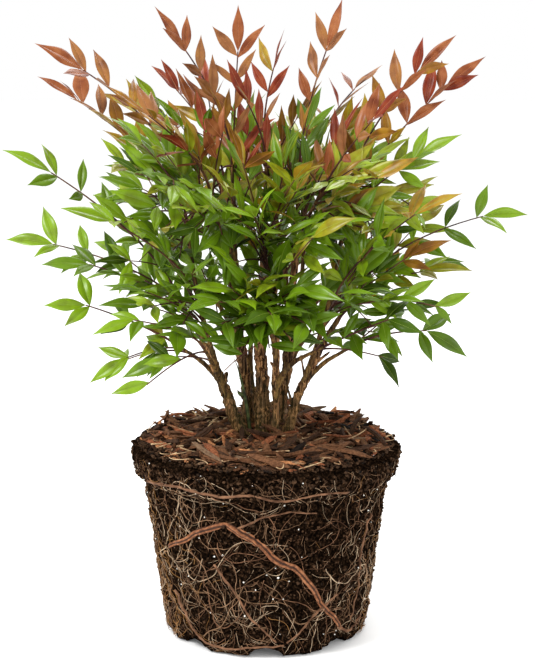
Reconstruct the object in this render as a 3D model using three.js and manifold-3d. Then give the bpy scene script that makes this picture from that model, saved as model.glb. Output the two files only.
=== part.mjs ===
// Heavenly bamboo (Nandina domestica): a young shrub that stands on its bare root ball.
//
// Millimetres, +Z up, +X to the right and -Y to the front. The origin is the centre of the
// root ball's flat underside. The shrub is a clump of canes with upright foliage: compound
// leaves whose rachis arches outwards and carries its leaflets in pairs, with three at its end.

import * as THREE from 'three';
import { mergeVertices } from 'three/addons/utils/BufferGeometryUtils.js';
import Module from 'manifold-3d';

const wasm = await Module();
wasm.setup();

// ---------------------------------------------------------------- driving dimensions

const GAP = 0.3; // clearance between two pieces that meet

const ROOT_BALL = {
  footRadius: 104, // at the flat underside
  footRounding: 8, // height of the rounding above the foot
  footBevel: 2.4, // height and depth of the first step of that rounding
  stepRadius: 126, // just below the rim band
  stepHeight: 166,
  rimRadius: 135,
  rimHeight: 198,
  rimFlare: 5, // height over which the band flares out, below
  rimBevel: 4, // height and depth of its upper edge's bevel
  mulchHeight: 203, // at the inner edge of the rim
  mulchRadius: 112,
  groundHeight: 207, // the level seat around the canes
  groundRadius: 46,
  facets: 28,
  raggedness: 2.2, // how far the mulch and the rim stray in or out
  unevenness: 1.8, // how far they stray up or down
  notchCount: 8,
  notchWidth: 34,
  notchHeight: 11,
  notchDepth: 26,
};

// Thick roots that run over the ball: [degrees round it, height] from end to end.
const SURFACE_ROOTS = [
  {
    radius: 4.4,
    route: [[-146, 104], [-134, 118], [-111, 145], [-98, 133], [-86, 109], [-72, 92], [-59, 51], [-42, 18]],
  },
  { radius: 3.4, route: [[34, 150], [52, 118], [78, 96], [96, 54], [112, 16]] },
];
const ROOT_SIDES = 4;
const ROOT_SPACING = 26; // between the rings of a surface root
const ROOT_SUNK = 0.25; // share of its radius by which a root's middle lies in the soil
const ROOT_ENDS = 0.7; // thickness of a root's ends, as a share of its middle's

// The foliage radiates from a point among the canes, and each mass keeps to its own wedge.
const CROWN_CENTRE = new THREE.Vector3(0, 0, 270);

// entry: how far from the crown's centre the bough ends and the mass begins.
// stem: how far out the mass's stem ends. rise: how much steeper the stem is than its wedge.
// fan: how far apart the compound leaves lean. fold: how far a pair of leaflets folds upwards.
// arch: the bow of a leaflet. All angles are in degrees.
const RINGS = {
  top: { entry: 122, stem: 218, rise: 1, fan: 9, fold: 58, arch: 0.05 },
  upper: { entry: 122, stem: 208, rise: 8, fan: 13, fold: 52, arch: 0.06 },
  middle: { entry: 70, stem: 126, rise: 6, fan: 18, fold: 30, arch: 0.13 },
  brow: { entry: 96, stem: 146, rise: 8, fan: 19, fold: 36, arch: 0.1 },
  front: { entry: 60, stem: 104, rise: 8, fan: 24, fold: 24, arch: 0.14 },
  low: { entry: 60, stem: 96, rise: 4, fan: 18, fold: 12, arch: 0.15 },
};

// Each mass: the azimuth and elevation of its wedge, the reach of its leaves' last nodes, how
// many compound leaves fan out in it, and the leading ones, which reach [azimuth, elevation,
// distance]. Azimuth 0 is to the right, 90 to the back and 180 to the left.
const MASSES = [
  { name: 'top_left', ring: 'top', azimuth: 180, elevation: 80, reach: 300, fan: 2,
    leaders: [[188, 76, 341], [168, 85, 327]] },
  { name: 'top_right', ring: 'top', azimuth: 0, elevation: 80, reach: 300, fan: 2,
    leaders: [[352, 79.5, 335]] },
  { name: 'top_front', ring: 'top', azimuth: 270, elevation: 81, reach: 280, fan: 4,
    leaders: [[250, 79, 284]] },
  { name: 'top_back', ring: 'top', azimuth: 90, elevation: 76, reach: 306, fan: 3,
    leaders: [[84, 76, 318]] },
  { name: 'upper_left', ring: 'upper', azimuth: 180, elevation: 58, reach: 300, fan: 2,
    leaders: [[184, 59.6, 351], [174, 55.4, 331]] },
  { name: 'upper_front_left', ring: 'upper', azimuth: 226, elevation: 60, reach: 280, fan: 4,
    leaders: [[222, 61, 300]] },
  { name: 'upper_front_right', ring: 'upper', azimuth: 314, elevation: 60, reach: 280, fan: 4,
    leaders: [[316, 62, 292]] },
  { name: 'upper_front', ring: 'brow', azimuth: 270, elevation: 63, reach: 256, fan: 5,
    leaders: [[276, 62, 262]] },
  { name: 'upper_right', ring: 'upper', azimuth: 0, elevation: 58, reach: 290, fan: 1,
    leaders: [[356, 63.7, 338], [5, 58, 336], [350, 56, 262]] },
  { name: 'upper_back_right', ring: 'upper', azimuth: 60, elevation: 57, reach: 306, fan: 3,
    leaders: [[56, 59, 326]] },
  { name: 'upper_back_left', ring: 'upper', azimuth: 120, elevation: 57, reach: 306, fan: 3,
    leaders: [[126, 60, 322]] },
  { name: 'middle_left', ring: 'middle', azimuth: 180, elevation: 37, reach: 236, fan: 1,
    leaders: [[184, 44, 292], [176, 31.1, 248], [187, 33, 206]] },
  { name: 'middle_front_left', ring: 'middle', azimuth: 222, elevation: 38, reach: 236, fan: 4,
    leaders: [[220, 42, 248]] },
  { name: 'middle_front', ring: 'front', azimuth: 270, elevation: 38, reach: 184, fan: 8,
    leaders: [[252, 50, 210], [288, 48, 204], [272, 30, 166]] },
  { name: 'middle_front_right', ring: 'middle', azimuth: 318, elevation: 38, reach: 230, fan: 4,
    leaders: [[320, 44, 248]] },
  { name: 'middle_right', ring: 'middle', azimuth: 0, elevation: 37, reach: 230, fan: 2,
    leaders: [[3, 36, 267], [352, 34.4, 186]] },
  { name: 'middle_back_right', ring: 'middle', azimuth: 45, elevation: 37, reach: 246, fan: 4,
    leaders: [[42, 40, 262]] },
  { name: 'middle_back', ring: 'middle', azimuth: 90, elevation: 37, reach: 246, fan: 4,
    leaders: [[94, 40, 262]] },
  { name: 'middle_back_left', ring: 'middle', azimuth: 135, elevation: 37, reach: 246, fan: 4,
    leaders: [[138, 40, 262]] },
  { name: 'low_left', ring: 'low', azimuth: 180, elevation: 14, reach: 160, fan: 1,
    leaders: [[181, 21.3, 190], [186, 7.5, 137]] },
  { name: 'low_front_left', ring: 'low', azimuth: 225, elevation: 20, reach: 162, fan: 3,
    leaders: [[222, 24, 178]] },
  { name: 'low_front_right', ring: 'low', azimuth: 312, elevation: 21, reach: 158, fan: 3,
    leaders: [[316, 25, 172]] },
  { name: 'low_right', ring: 'low', azimuth: 0, elevation: 14, reach: 150, fan: 1,
    leaders: [[358, 15.5, 163]] },
  { name: 'low_back_right', ring: 'low', azimuth: 56, elevation: 17, reach: 166, fan: 2,
    leaders: [[52, 20, 182]] },
  { name: 'low_back_left', ring: 'low', azimuth: 124, elevation: 17, reach: 166, fan: 2,
    leaders: [[128, 20, 182]] },
];

// Each cane leaves the ground at foot, bows by way of bend and leads into the mass at its tip.
const CANES = [
  { name: 'cane_left', foot: [-25, -9], bend: [-50, -9, 285], radius: 7.2, mass: 'middle_left' },
  { name: 'cane_inner_left', foot: [-15, 10], bend: [-34, 15, 322], radius: 6.2, mass: 'top_left' },
  { name: 'cane_centre', foot: [-3, -9], bend: [-6, -10, 320], radius: 8.2, mass: 'top_front' },
  { name: 'cane_slim', foot: [8, -24], bend: [16, -34, 300], radius: 3.6, mass: 'upper_front' },
  { name: 'cane_inner_right', foot: [10, 8], bend: [28, 9, 300], radius: 7.0, mass: 'top_right' },
  { name: 'cane_right', foot: [21, -9], bend: [38, -8, 278], radius: 5.6, mass: 'middle_right' },
  { name: 'cane_back_left', foot: [-9, 27], bend: [-17, 48, 300], radius: 5.8, mass: 'middle_back_left' },
  { name: 'cane_back_right', foot: [12, 27], bend: [21, 47, 300], radius: 5.8, mass: 'middle_back_right' },
];
const CANE_TIP_RADIUS = 3.4;
const ROOT_FLARE = { widening: 0.32, height: 11 }; // at the foot of each cane
const CANE_SIDES = 6;
const CANE_STEPS = 6;
const CANE_SUNK = 0.04; // share of its line by which a cane's tube starts below the level cut

// Each bough leaves a cane at a share of the cane's length and leads into a mass.
const BOUGHS = [
  { mass: 'upper_left', cane: 'cane_left', at: 0.44 },
  { mass: 'middle_front_left', cane: 'cane_left', at: 0.34 },
  { mass: 'upper_front_left', cane: 'cane_inner_left', at: 0.34 },
  { mass: 'upper_front_right', cane: 'cane_centre', at: 0.36 },
  { mass: 'top_back', cane: 'cane_inner_right', at: 0.4 },
  { mass: 'middle_front', cane: 'cane_slim', at: 0.42 },
  { mass: 'upper_right', cane: 'cane_right', at: 0.5 },
  { mass: 'middle_front_right', cane: 'cane_right', at: 0.32 },
  { mass: 'upper_back_left', cane: 'cane_back_left', at: 0.5 },
  { mass: 'middle_back', cane: 'cane_back_left', at: 0.32 },
  { mass: 'upper_back_right', cane: 'cane_back_right', at: 0.5 },
  { mass: 'low_left', cane: 'cane_left', at: 0.42 },
  { mass: 'low_front_left', cane: 'cane_left', at: 0.24 },
  { mass: 'low_front_right', cane: 'cane_slim', at: 0.3 },
  { mass: 'low_right', cane: 'cane_right', at: 0.42 },
  { mass: 'low_back_right', cane: 'cane_back_right', at: 0.34 },
  { mass: 'low_back_left', cane: 'cane_back_left', at: 0.22 },
];
const BOUGH_RADIUS = 3.3;
const BOUGH_TIP_RADIUS = 2.3;
const BOUGH_SIDES = 5;
const BOUGH_STEPS = 3;
const BOUGH_LIFT = 0.45; // share of its length that a bough follows its cane before it turns
const BOUGH_LEAST = 0.12; // share of its line that a bough has at least
const LINE_STEP = 0.01; // share of a line by which a place on it is searched for

// A mass's stem goes on in its first rachis, and the other rachises branch from the stem.
const STEM = { radius: 2.7, endRadius: 1.9, sides: 4, branched: 0.85 }; // share with rachises on it
const RACHIS = { radius: 1.35, endRadius: 1.1, sides: 3 };
const RACHIS_LIFT = 0.4; // share of its length that a rachis follows the stem before it arches
const RACHIS_CHECKS = [0.25, 0.5, 0.75, 1]; // places where a rachis has to be clear
const RACHIS_MARGIN = 2; // between a rachis and the side of its mass's wedge
const SHORTEST_REACH = 0.66; // of the fanned rachises, as a share of the mass's reach
const PULLS = [1, 0.7, 0.4]; // shares of its lean that a fanned rachis may have, the widest first
const MASS_TURN = 50; // degrees by which each mass's fan is turned from the mass before

const LEAF = {
  length: 52, // the leaf at the end of a rachis
  upperLength: 47, // each leaf of the last pair
  lowerLength: 62, // each leaf of the pairs below, which stands for a group of leaflets
  width: 0.39, // of the length
  thickness: 1.3, // at the ridge
  rootHeight: 0.6, // of the upright edge that is sunk in the rachis
  widest: 0.42, // share of the length at which a leaf is widest
  spacing: 31, // between the last two pairs
  widening: 0.1, // of the spacing, from each pair to the one below
  bare: 22, // length of a rachis, from its foot, that has no leaves
  room: 10, // least distance between the middles of two leaves of one mass
  seats: { last: 1, first: 3.2, second: 5.6 }, // how far below its node a leaf sits
};

// How a pair's leaf may stand, the fullest first: degrees from its rachis, and share of length.
// The last is the smallest, and a leaf with no choice that fits is left out.
const LEAF_STANCES = [[50, 1], [27, 1], [40, 0.72], [24, 0.6]];
const LIMB_CLEARANCE = 1.2; // between a leaf or twig and a limb
const GOLDEN_ANGLE = 137.5;

// How far chance moves what grows, in degrees or as a share.
const CHANCE = { turn: 20, lean: 0.2, roll: 25, fold: 15, spread: 10, size: 0.12 };
const SEEDS = { fan: 0, roll: 500, leaves: 1000, facet: 512 };

// ---------------------------------------------------------------- materials

const material = (color, roughness) =>
  new THREE.MeshStandardMaterial({ color, roughness, metalness: 0 });

const SOIL = material(0x2e2118, 0.95);
const BARK = material(0x6b563d, 0.85);
const FOLIAGE = {
  top: material(0xb9593a, 0.5),
  upper: material(0xa5873a, 0.5),
  middle: material(0x6f9a35, 0.5),
  brow: material(0xa5873a, 0.5),
  front: material(0x6f9a35, 0.5),
  low: material(0x3f7a2c, 0.5),
};

// ---------------------------------------------------------------- helpers

const radians = THREE.MathUtils.degToRad;
const lerp = THREE.MathUtils.lerp;

// A repeatable source of numbers from 0 to 1.
function seeded(seed) {
  let state = Math.imul(seed + 1, 2654435761) >>> 0;
  return () => {
    state = (state + 0x6d2b79f5) >>> 0;
    let mixed = Math.imul(state ^ (state >>> 15), state | 1);
    mixed ^= mixed + Math.imul(mixed ^ (mixed >>> 7), mixed | 61);
    return ((mixed ^ (mixed >>> 14)) >>> 0) / 4294967296;
  };
}

// A number from minus an amount to that amount.
const within = (amount, random) => (random() * 2 - 1) * amount;

function direction(azimuth, elevation) {
  const flat = Math.cos(radians(elevation));
  return new THREE.Vector3(
    flat * Math.cos(radians(azimuth)),
    flat * Math.sin(radians(azimuth)),
    Math.sin(radians(elevation)),
  );
}

// A point at a distance from the crown's centre.
const inCrown = (azimuth, elevation, distance) =>
  direction(azimuth, elevation).multiplyScalar(distance).add(CROWN_CENTRE);

function asSolid(geometry) {
  geometry.deleteAttribute('normal');
  geometry.deleteAttribute('uv');
  const merged = mergeVertices(geometry, 1e-4);
  return new wasm.Manifold(new wasm.Mesh({
    numProp: 3,
    vertProperties: new Float32Array(merged.attributes.position.array),
    triVerts: new Uint32Array(merged.index.array),
  }));
}

function asGeometry(solid) {
  const mesh = solid.getMesh();
  const geometry = new THREE.BufferGeometry();
  geometry.setAttribute('position', new THREE.BufferAttribute(mesh.vertProperties, 3));
  geometry.setIndex(new THREE.BufferAttribute(mesh.triVerts, 1));
  return geometry;
}

// Joins solids into one body. Loose scraps and sealed hollows are left out.
function joined(solids) {
  const bodies = wasm.Manifold.union(solids).decompose();
  return bodies.reduce((largest, body) => (body.volume() > largest.volume() ? body : largest));
}

// A unit vector square to an axis, as close as can be to the wanted one.
const squareTo = (axis, wanted) =>
  wanted.clone().addScaledVector(axis, -wanted.dot(axis)).normalize();

// Evenly spaced places along a curve, from one to another.
const evenly = (from, to, steps) =>
  Array.from({ length: steps + 1 }, (_, k) => lerp(from, to, k / steps));

// The rings of a limb: one at each of some places along a curve, with the radius there.
const ringsOn = (curve, places, radiusAt) =>
  places.map((t) => ({ centre: curve.getPoint(t), along: curve.getTangent(t), radius: radiusAt(t) }));

// A closed tapering tube through its rings. The vector across sets how it is turned: its first
// edge is square to it.
function limb(rings, sides, across = new THREE.Vector3(0.3, 1, 0.2)) {
  const steps = rings.length - 1;
  const geometry = new THREE.CylinderGeometry(1, 1, 1, sides, steps);
  const position = geometry.attributes.position;
  let side = across;
  const sections = rings.map(({ centre, along, radius }) => {
    side = squareTo(along, side);
    const edge = new THREE.Vector3().crossVectors(side, along);
    return { centre, x: side.clone().multiplyScalar(radius), z: edge.multiplyScalar(radius) };
  });
  for (let i = 0; i < position.count; i++) {
    const { centre, x, z } = sections[Math.round((position.getY(i) + 0.5) * steps)];
    const point = centre.clone()
      .addScaledVector(x, position.getX(i))
      .addScaledVector(z, position.getZ(i));
    position.setXYZ(i, point.x, point.y, point.z);
  }
  return asSolid(geometry);
}

// ---------------------------------------------------------------- root ball

const ballRadius = (height) =>
  lerp(ROOT_BALL.footRadius, ROOT_BALL.stepRadius, height / ROOT_BALL.stepHeight);

// Moves the rim and the mulch a little in and out, and up and down. Level faces stay level.
function roughen(geometry) {
  const { groundRadius, stepHeight, groundHeight, facets, raggedness, unevenness } = ROOT_BALL;
  const position = geometry.attributes.position;
  for (let i = 0; i < position.count; i++) {
    const [x, y, z] = [position.getX(i), position.getY(i), position.getZ(i)];
    const radius = Math.hypot(x, y);
    if (z < stepHeight || radius <= groundRadius) continue;
    const angle = Math.round((Math.atan2(y, x) / (2 * Math.PI)) * facets);
    const facet = (angle + facets) % facets;
    const random = seeded(facet * SEEDS.facet + Math.round(radius + z));
    const grow = 1 + within(raggedness, random) / radius;
    const lift = z < groundHeight ? within(unevenness, random) : 0;
    position.setXYZ(i, x * grow, y * grow, z + lift);
  }
}

function notches() {
  const { notchCount, notchWidth, notchHeight, notchDepth, footRadius } = ROOT_BALL;
  return Array.from({ length: notchCount }, (_, k) => {
    const notch = new THREE.CylinderGeometry(1, 1, notchDepth * 2, 8);
    notch.scale(notchWidth / 2, 1, notchHeight);
    notch.translate(0, -footRadius, 0);
    notch.rotateZ((k * 2 * Math.PI) / notchCount);
    return asSolid(notch);
  });
}

function surfaceRoot({ radius, route }) {
  const points = route.map(([angle, height]) => {
    const out = ballRadius(height) - ROOT_SUNK * radius;
    return new THREE.Vector3(out * Math.cos(radians(angle)), out * Math.sin(radians(angle)), height);
  });
  const curve = new THREE.CatmullRomCurve3(points);
  const steps = Math.round(curve.getLength() / ROOT_SPACING);
  const taper = (t) => radius * lerp(ROOT_ENDS, 1, Math.sin(Math.PI * t));
  return limb(ringsOn(curve, evenly(0, 1, steps), taper), ROOT_SIDES);
}

function rootBall() {
  const b = ROOT_BALL;
  const profile = [
    [0, 0],
    [b.footRadius - b.footRounding, 0],
    [b.footRadius - b.footBevel, b.footBevel],
    [ballRadius(b.footRounding), b.footRounding],
    [b.stepRadius, b.stepHeight],
    [b.rimRadius, b.stepHeight + b.rimFlare],
    [b.rimRadius, b.rimHeight - b.rimBevel],
    [b.rimRadius - b.rimBevel, b.rimHeight],
    [b.mulchRadius, b.mulchHeight],
    [b.groundRadius, b.groundHeight],
    [0, b.groundHeight],
  ].map(([radius, height]) => new THREE.Vector2(radius, height));
  const body = new THREE.LatheGeometry(profile, b.facets);
  body.rotateX(Math.PI / 2);
  roughen(body);
  const roots = SURFACE_ROOTS.map(surfaceRoot);
  return asGeometry(joined([asSolid(body), ...roots]).subtract(wasm.Manifold.union(notches())));
}

// ---------------------------------------------------------------- canes and boughs

const byName = (list, name) => list.find((item) => item.name === name);

function stemEnd(mass) {
  const ring = RINGS[mass.ring];
  return inCrown(mass.azimuth, mass.elevation + ring.rise, ring.stem);
}

// The share of a line's length at which it first is as far from the crown's centre as its
// mass's entry, and no earlier than a given share.
function entryOf(curve, mass, earliest) {
  const { entry } = RINGS[mass.ring];
  let t = earliest;
  while (t < 1 && curve.getPoint(t).distanceTo(CROWN_CENTRE) < entry) t += LINE_STEP;
  return t;
}

// One line for each cane: it runs from the ground through the cane's tip to the end of the
// stem in its mass.
function caneLine(cane) {
  const mass = byName(MASSES, cane.mass);
  const foot = new THREE.Vector3(...cane.foot, ROOT_BALL.groundHeight);
  const curve = new THREE.QuadraticBezierCurve3(foot, new THREE.Vector3(...cane.bend), stemEnd(mass));
  const entry = entryOf(curve, mass, 0);
  const length = curve.getLength();
  const radiusAt = (t) => {
    const flare = ROOT_FLARE.widening * Math.exp((-t * length) / ROOT_FLARE.height);
    return lerp(cane.radius, CANE_TIP_RADIUS, Math.max(t, 0) / entry) * (1 + flare);
  };
  return { name: cane.name, mass, curve, entry, radiusAt, start: 0 };
}

// One line for each bough, from the middle of its cane to the end of the stem in its mass.
// Its first stretch is a collar on the cane, up to where the bough stands clear of it.
function boughLine({ mass: massName, cane, at }) {
  const mass = byName(MASSES, massName);
  const from = cane.curve.getPoint(at);
  const to = stemEnd(mass);
  const bend = from.clone().addScaledVector(cane.curve.getTangent(at), from.distanceTo(to) * BOUGH_LIFT);
  const curve = new THREE.QuadraticBezierCurve3(from, bend, to);
  let collar = LINE_STEP;
  while (distanceToLimb(curve.getPoint(collar), cane) < BOUGH_RADIUS + LIMB_CLEARANCE) collar += LINE_STEP;
  const start = collar + GAP / curve.getLength();
  const entry = entryOf(curve, mass, start + BOUGH_LEAST);
  const radiusAt = (t) => lerp(BOUGH_RADIUS, BOUGH_TIP_RADIUS, t / entry);
  return { name: `bough_${massName}`, mass, curve, entry, radiusAt, start, collar, cane };
}

// From a point to the bark of a limb.
function distanceToLimb(point, line) {
  const samples = 24;
  let least = Infinity;
  for (let k = 0; k <= samples; k++) {
    const t = lerp(line.start, line.entry, k / samples);
    least = Math.min(least, point.distanceTo(line.curve.getPoint(t)) - line.radiusAt(t));
  }
  return least;
}

const caneLines = CANES.map(caneLine);
const boughLines = BOUGHS.map(({ mass, cane, at }) => {
  const line = byName(caneLines, cane);
  return boughLine({ mass, cane: line, at: at * line.entry });
});
const lines = [...caneLines, ...boughLines];

// A cane with the collars of its boughs, cut level where it meets the ground.
function caneSolid(line) {
  const places = evenly(-CANE_SUNK, line.entry, CANE_STEPS);
  const shaft = limb(ringsOn(line.curve, places, line.radiusAt), CANE_SIDES);
  const collars = boughLines.filter((bough) => bough.cane === line).map((bough) =>
    limb(ringsOn(bough.curve, [0, bough.collar], bough.radiusAt), BOUGH_SIDES));
  const wide = ROOT_BALL.mulchRadius * 2;
  const ground = new THREE.BoxGeometry(wide, wide, wide);
  ground.translate(0, 0, ROOT_BALL.groundHeight + GAP - wide / 2);
  return joined([shaft, ...collars]).subtract(asSolid(ground));
}

const boughSolid = (line) =>
  limb(ringsOn(line.curve, evenly(line.start, line.entry, BOUGH_STEPS), line.radiusAt), BOUGH_SIDES);

// ---------------------------------------------------------------- foliage

const wedgeAxes = MASSES.map((mass) => direction(mass.azimuth, mass.elevation));

// Whether a point lies in a mass's wedge of the crown, at least a margin from the next wedge.
function inWedge(index, point, margin) {
  const arm = point.clone().sub(CROWN_CENTRE);
  return wedgeAxes.every((axis, other) => {
    if (other === index) return true;
    const towards = wedgeAxes[index].clone().sub(axis).normalize();
    return arm.dot(towards) >= margin;
  });
}

const clearOfLimbs = (point, room) => lines.every((line) => distanceToLimb(point, line) > room);

// The faces of a leaf: its root is an upright edge, its middle is widest and has a ridge on
// the upper side, and its tip is a point.
const LEAF_FACES = [0, 4, 2, 0, 3, 4, 4, 5, 2, 4, 3, 5, 1, 2, 3, 2, 5, 3, 0, 2, 1, 0, 1, 3];
const LEAF_UPPER_FACES = [[0, 4, 2], [0, 3, 4], [4, 5, 2], [4, 3, 5]];
const LEAF_EDGES = [[0, 2], [2, 5], [5, 3], [3, 0], [0, 4], [4, 5]];
const LEAF_RIDGE = 4;

function leafCorners({ root, along, face, length, arch }) {
  const side = new THREE.Vector3().crossVectors(along, face);
  const width = LEAF.width * length;
  const half = LEAF.rootHeight / 2;
  const middle = root.clone().addScaledVector(along, length * LEAF.widest)
    .addScaledVector(face, length * arch);
  return [
    root.clone().addScaledVector(face, half),
    root.clone().addScaledVector(face, -half),
    middle.clone().addScaledVector(side, -width / 2),
    middle.clone().addScaledVector(side, width / 2),
    middle.clone().addScaledVector(face, LEAF.thickness),
    root.clone().addScaledVector(along, length).addScaledVector(face, (-length * arch) / 2),
  ];
}

function leafSolid(corners) {
  const geometry = new THREE.BufferGeometry().setFromPoints(corners);
  geometry.setIndex(LEAF_FACES);
  return asSolid(geometry);
}

// Whether a straight line from one point to another passes through a leaf.
function passesThrough([from, to], corners) {
  const ray = new THREE.Ray(from, to.clone().sub(from).normalize());
  return LEAF_UPPER_FACES.some((face) => {
    const hit = ray.intersectTriangle(...face.map((i) => corners[i]), false, new THREE.Vector3());
    return hit && hit.distanceTo(from) < to.distanceTo(from);
  });
}

const edgesOf = (corners) => LEAF_EDGES.map((edge) => edge.map((i) => corners[i]));

// Whether two leaves cross, or come so close that one hides the other.
function inTheWay(one, other) {
  const apart = one[LEAF_RIDGE].distanceTo(other[LEAF_RIDGE]);
  if (apart > 2 * LEAF.lowerLength) return false;
  return apart < LEAF.room
    || edgesOf(one).some((edge) => passesThrough(edge, other))
    || edgesOf(other).some((edge) => passesThrough(edge, one));
}

// Where the compound leaves of a mass end: the leading ones, then those that fan round them.
function rachisEnds(mass, index) {
  const ring = RINGS[mass.ring];
  const random = seeded(SEEDS.fan + index);
  const ends = mass.leaders.map((leader) => [inCrown(...leader)]);
  const axis = wedgeAxes[index];
  const right = squareTo(axis, new THREE.Vector3(-axis.y, axis.x, 0));
  const up = new THREE.Vector3().crossVectors(axis, right);
  for (let k = 0; k < mass.fan; k++) {
    const turn = radians(k * GOLDEN_ANGLE + index * MASS_TURN + within(CHANCE.turn, random));
    const lean = radians(ring.fan * (1 + within(CHANCE.lean, random)));
    const reach = mass.reach * lerp(SHORTEST_REACH, 1, random());
    ends.push(PULLS.map((pull) => axis.clone()
      .addScaledVector(right, Math.tan(lean * pull) * Math.cos(turn))
      .addScaledVector(up, Math.tan(lean * pull) * Math.sin(turn))
      .normalize().multiplyScalar(reach).add(CROWN_CENTRE)));
  }
  return ends;
}

// The arching rachises of a mass. The first goes on from the stem's end, and each other one
// leaves the stem a little lower. Each is the first of its choices that keeps to the wedge and
// clear of the limbs.
function rachises(stem, mass, index) {
  const ends = rachisEnds(mass, index);
  const random = seeded(SEEDS.roll + index);
  const upwards = stem.getTangent(0);
  return ends.flatMap((choices, k) => {
    const roll = radians(within(CHANCE.roll, random));
    const foot = stem.getPoint(1 - (STEM.branched * k) / ends.length);
    for (const end of choices) {
      const chord = end.clone().sub(foot);
      const start = k === 0 ? upwards : upwards.clone().add(chord.clone().normalize()).normalize();
      const bend = foot.clone().addScaledVector(start, chord.length() * RACHIS_LIFT);
      const curve = new THREE.QuadraticBezierCurve3(foot, bend, end);
      const clear = RACHIS_CHECKS.every((place) => {
        const point = curve.getPoint(place);
        return inWedge(index, point, RACHIS_MARGIN)
          && clearOfLimbs(point, LIMB_CLEARANCE + RACHIS.radius);
      });
      if (clear) return [{ curve, roll }];
    }
    return [];
  });
}

// The places along a rachis that carry leaves, from its end back towards its foot.
function nodesOn(curve) {
  const length = curve.getLength();
  const nodes = [1];
  let back = LEAF.spacing;
  for (let step = LEAF.spacing; back < length - LEAF.bare; back += step) {
    nodes.push(1 - back / length);
    step *= 1 + LEAF.widening;
  }
  return nodes;
}

// The directions of a compound leaf at a place on its rachis: along it, level across it, and
// over it, which is its upper side.
function frameAt(curve, t, roll) {
  const along = curve.getTangent(t);
  const level = squareTo(along, new THREE.Vector3(-along.y, along.x, 0)).applyAxisAngle(along, roll);
  return { along, level, over: new THREE.Vector3().crossVectors(along, level) };
}

// The leaves of one rachis: three at its end, then pairs back along it, each with its root on
// the straight line to the node below. Each leaf is a list of choices, the fullest first.
function leavesOn({ curve, roll }, mass, random) {
  const { fold: meanFold, arch } = RINGS[mass.ring];
  const leaves = [];
  const nodes = nodesOn(curve);
  nodes.forEach((t, k) => {
    const node = curve.getPoint(t);
    const below = curve.getPoint(nodes[k + 1] ?? 0).sub(node).normalize();
    const seat = (distance) => node.clone().addScaledVector(below, distance);
    const { along: tangent, level, over } = frameAt(curve, t, roll);
    const last = k === 0 ? LEAF.seats.last : 0;
    if (last) {
      leaves.push([{ root: seat(last), along: tangent, face: over, length: LEAF.length, arch }]);
    }
    for (const hand of [-1, 1]) {
      const fold = radians(meanFold + within(CHANCE.fold, random));
      const wander = within(CHANCE.spread, random);
      const length = (last ? LEAF.upperLength : LEAF.lowerLength) * (1 + within(CHANCE.size, random));
      const outward = level.clone().multiplyScalar(hand * Math.cos(fold))
        .addScaledVector(over, Math.sin(fold));
      const upper = over.clone().multiplyScalar(Math.cos(fold))
        .addScaledVector(level, -hand * Math.sin(fold));
      const root = seat(last + (hand < 0 ? LEAF.seats.first : LEAF.seats.second));
      leaves.push(LEAF_STANCES.map(([degrees, share]) => {
        const spread = radians(degrees + wander);
        const along = tangent.clone().multiplyScalar(Math.cos(spread))
          .addScaledVector(outward, Math.sin(spread));
        return { root, along, face: squareTo(along, upper), length: length * share, arch };
      }));
    }
  });
  return leaves;
}

// One mass of foliage: its stem, its rachises and every leaf that fits. The stem starts clear
// of the limb's tip and is one piece with the first rachis.
function massSolid(line) {
  const index = MASSES.indexOf(line.mass);
  const random = seeded(SEEDS.leaves + index);
  const tangent = line.curve.getTangent(line.entry);
  const foot = line.curve.getPoint(line.entry).addScaledVector(tangent, GAP);
  const stem = new THREE.LineCurve3(foot, stemEnd(line.mass));
  const parts = [];
  const leaves = [];
  const growth = rachises(stem, line.mass, index);
  const twigs = growth.map(({ curve }) => [0, ...nodesOn(curve).reverse()].map((t) => curve.getPoint(t)));
  const fits = (corners, own) => corners.every((corner) => inWedge(index, corner, GAP))
    && corners.slice(2).every((corner) => clearOfLimbs(corner, LIMB_CLEARANCE))
    && !leaves.some((other) => inTheWay(corners, other))
    && !twigs.some((points, twig) => twig !== own && points.some((point, k) =>
      k > 0 && passesThrough([points[k - 1], point], corners)));
  growth.forEach((rachis, own) => {
    const { curve, roll } = rachis;
    const across = frameAt(curve, 0, roll).level.negate();
    const isFirst = parts.length === 0;
    const startRadius = isFirst ? STEM.endRadius : RACHIS.radius;
    const radiusAt = (t) => lerp(startRadius, RACHIS.endRadius, t);
    const rings = ringsOn(curve, [0, ...nodesOn(curve).reverse()], radiusAt);
    if (isFirst) rings.unshift({ centre: foot, along: tangent, radius: STEM.radius });
    parts.push(limb(rings, isFirst ? STEM.sides : RACHIS.sides, across));
    for (const choices of leavesOn(rachis, line.mass, random)) {
      const corners = choices.map(leafCorners).find((choice) => fits(choice, own));
      if (!corners) continue;
      leaves.push(corners);
      parts.push(leafSolid(corners));
    }
  });
  return joined(parts);
}

// ---------------------------------------------------------------- the shrub

function piece(name, geometry, look) {
  const mesh = new THREE.Mesh(geometry, look);
  mesh.name = name;
  return mesh;
}

const shrub = new THREE.Group();
shrub.add(piece('root_ball', rootBall(), SOIL));
for (const line of caneLines) {
  shrub.add(piece(line.name, asGeometry(caneSolid(line)), BARK));
}
for (const line of boughLines) {
  shrub.add(piece(line.name, asGeometry(boughSolid(line)), BARK));
}
for (const line of lines) {
  shrub.add(piece(`foliage_${line.mass.name}`, asGeometry(massSolid(line)), FOLIAGE[line.mass.ring]));
}

export default shrub;
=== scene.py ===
"""Heavenly bamboo (Nandina domestica) on its root ball: the looks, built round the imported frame.

Lengths in this script are millimetres, and the meshes are made in metres. +Z is up, +X is to the
right and -Y is to the front, as in the frame. The canes, boughs and compound leaves follow the
same lines and the same seeded rule as the part's source, and are carried on to real leaflets.
"""

import math

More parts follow.
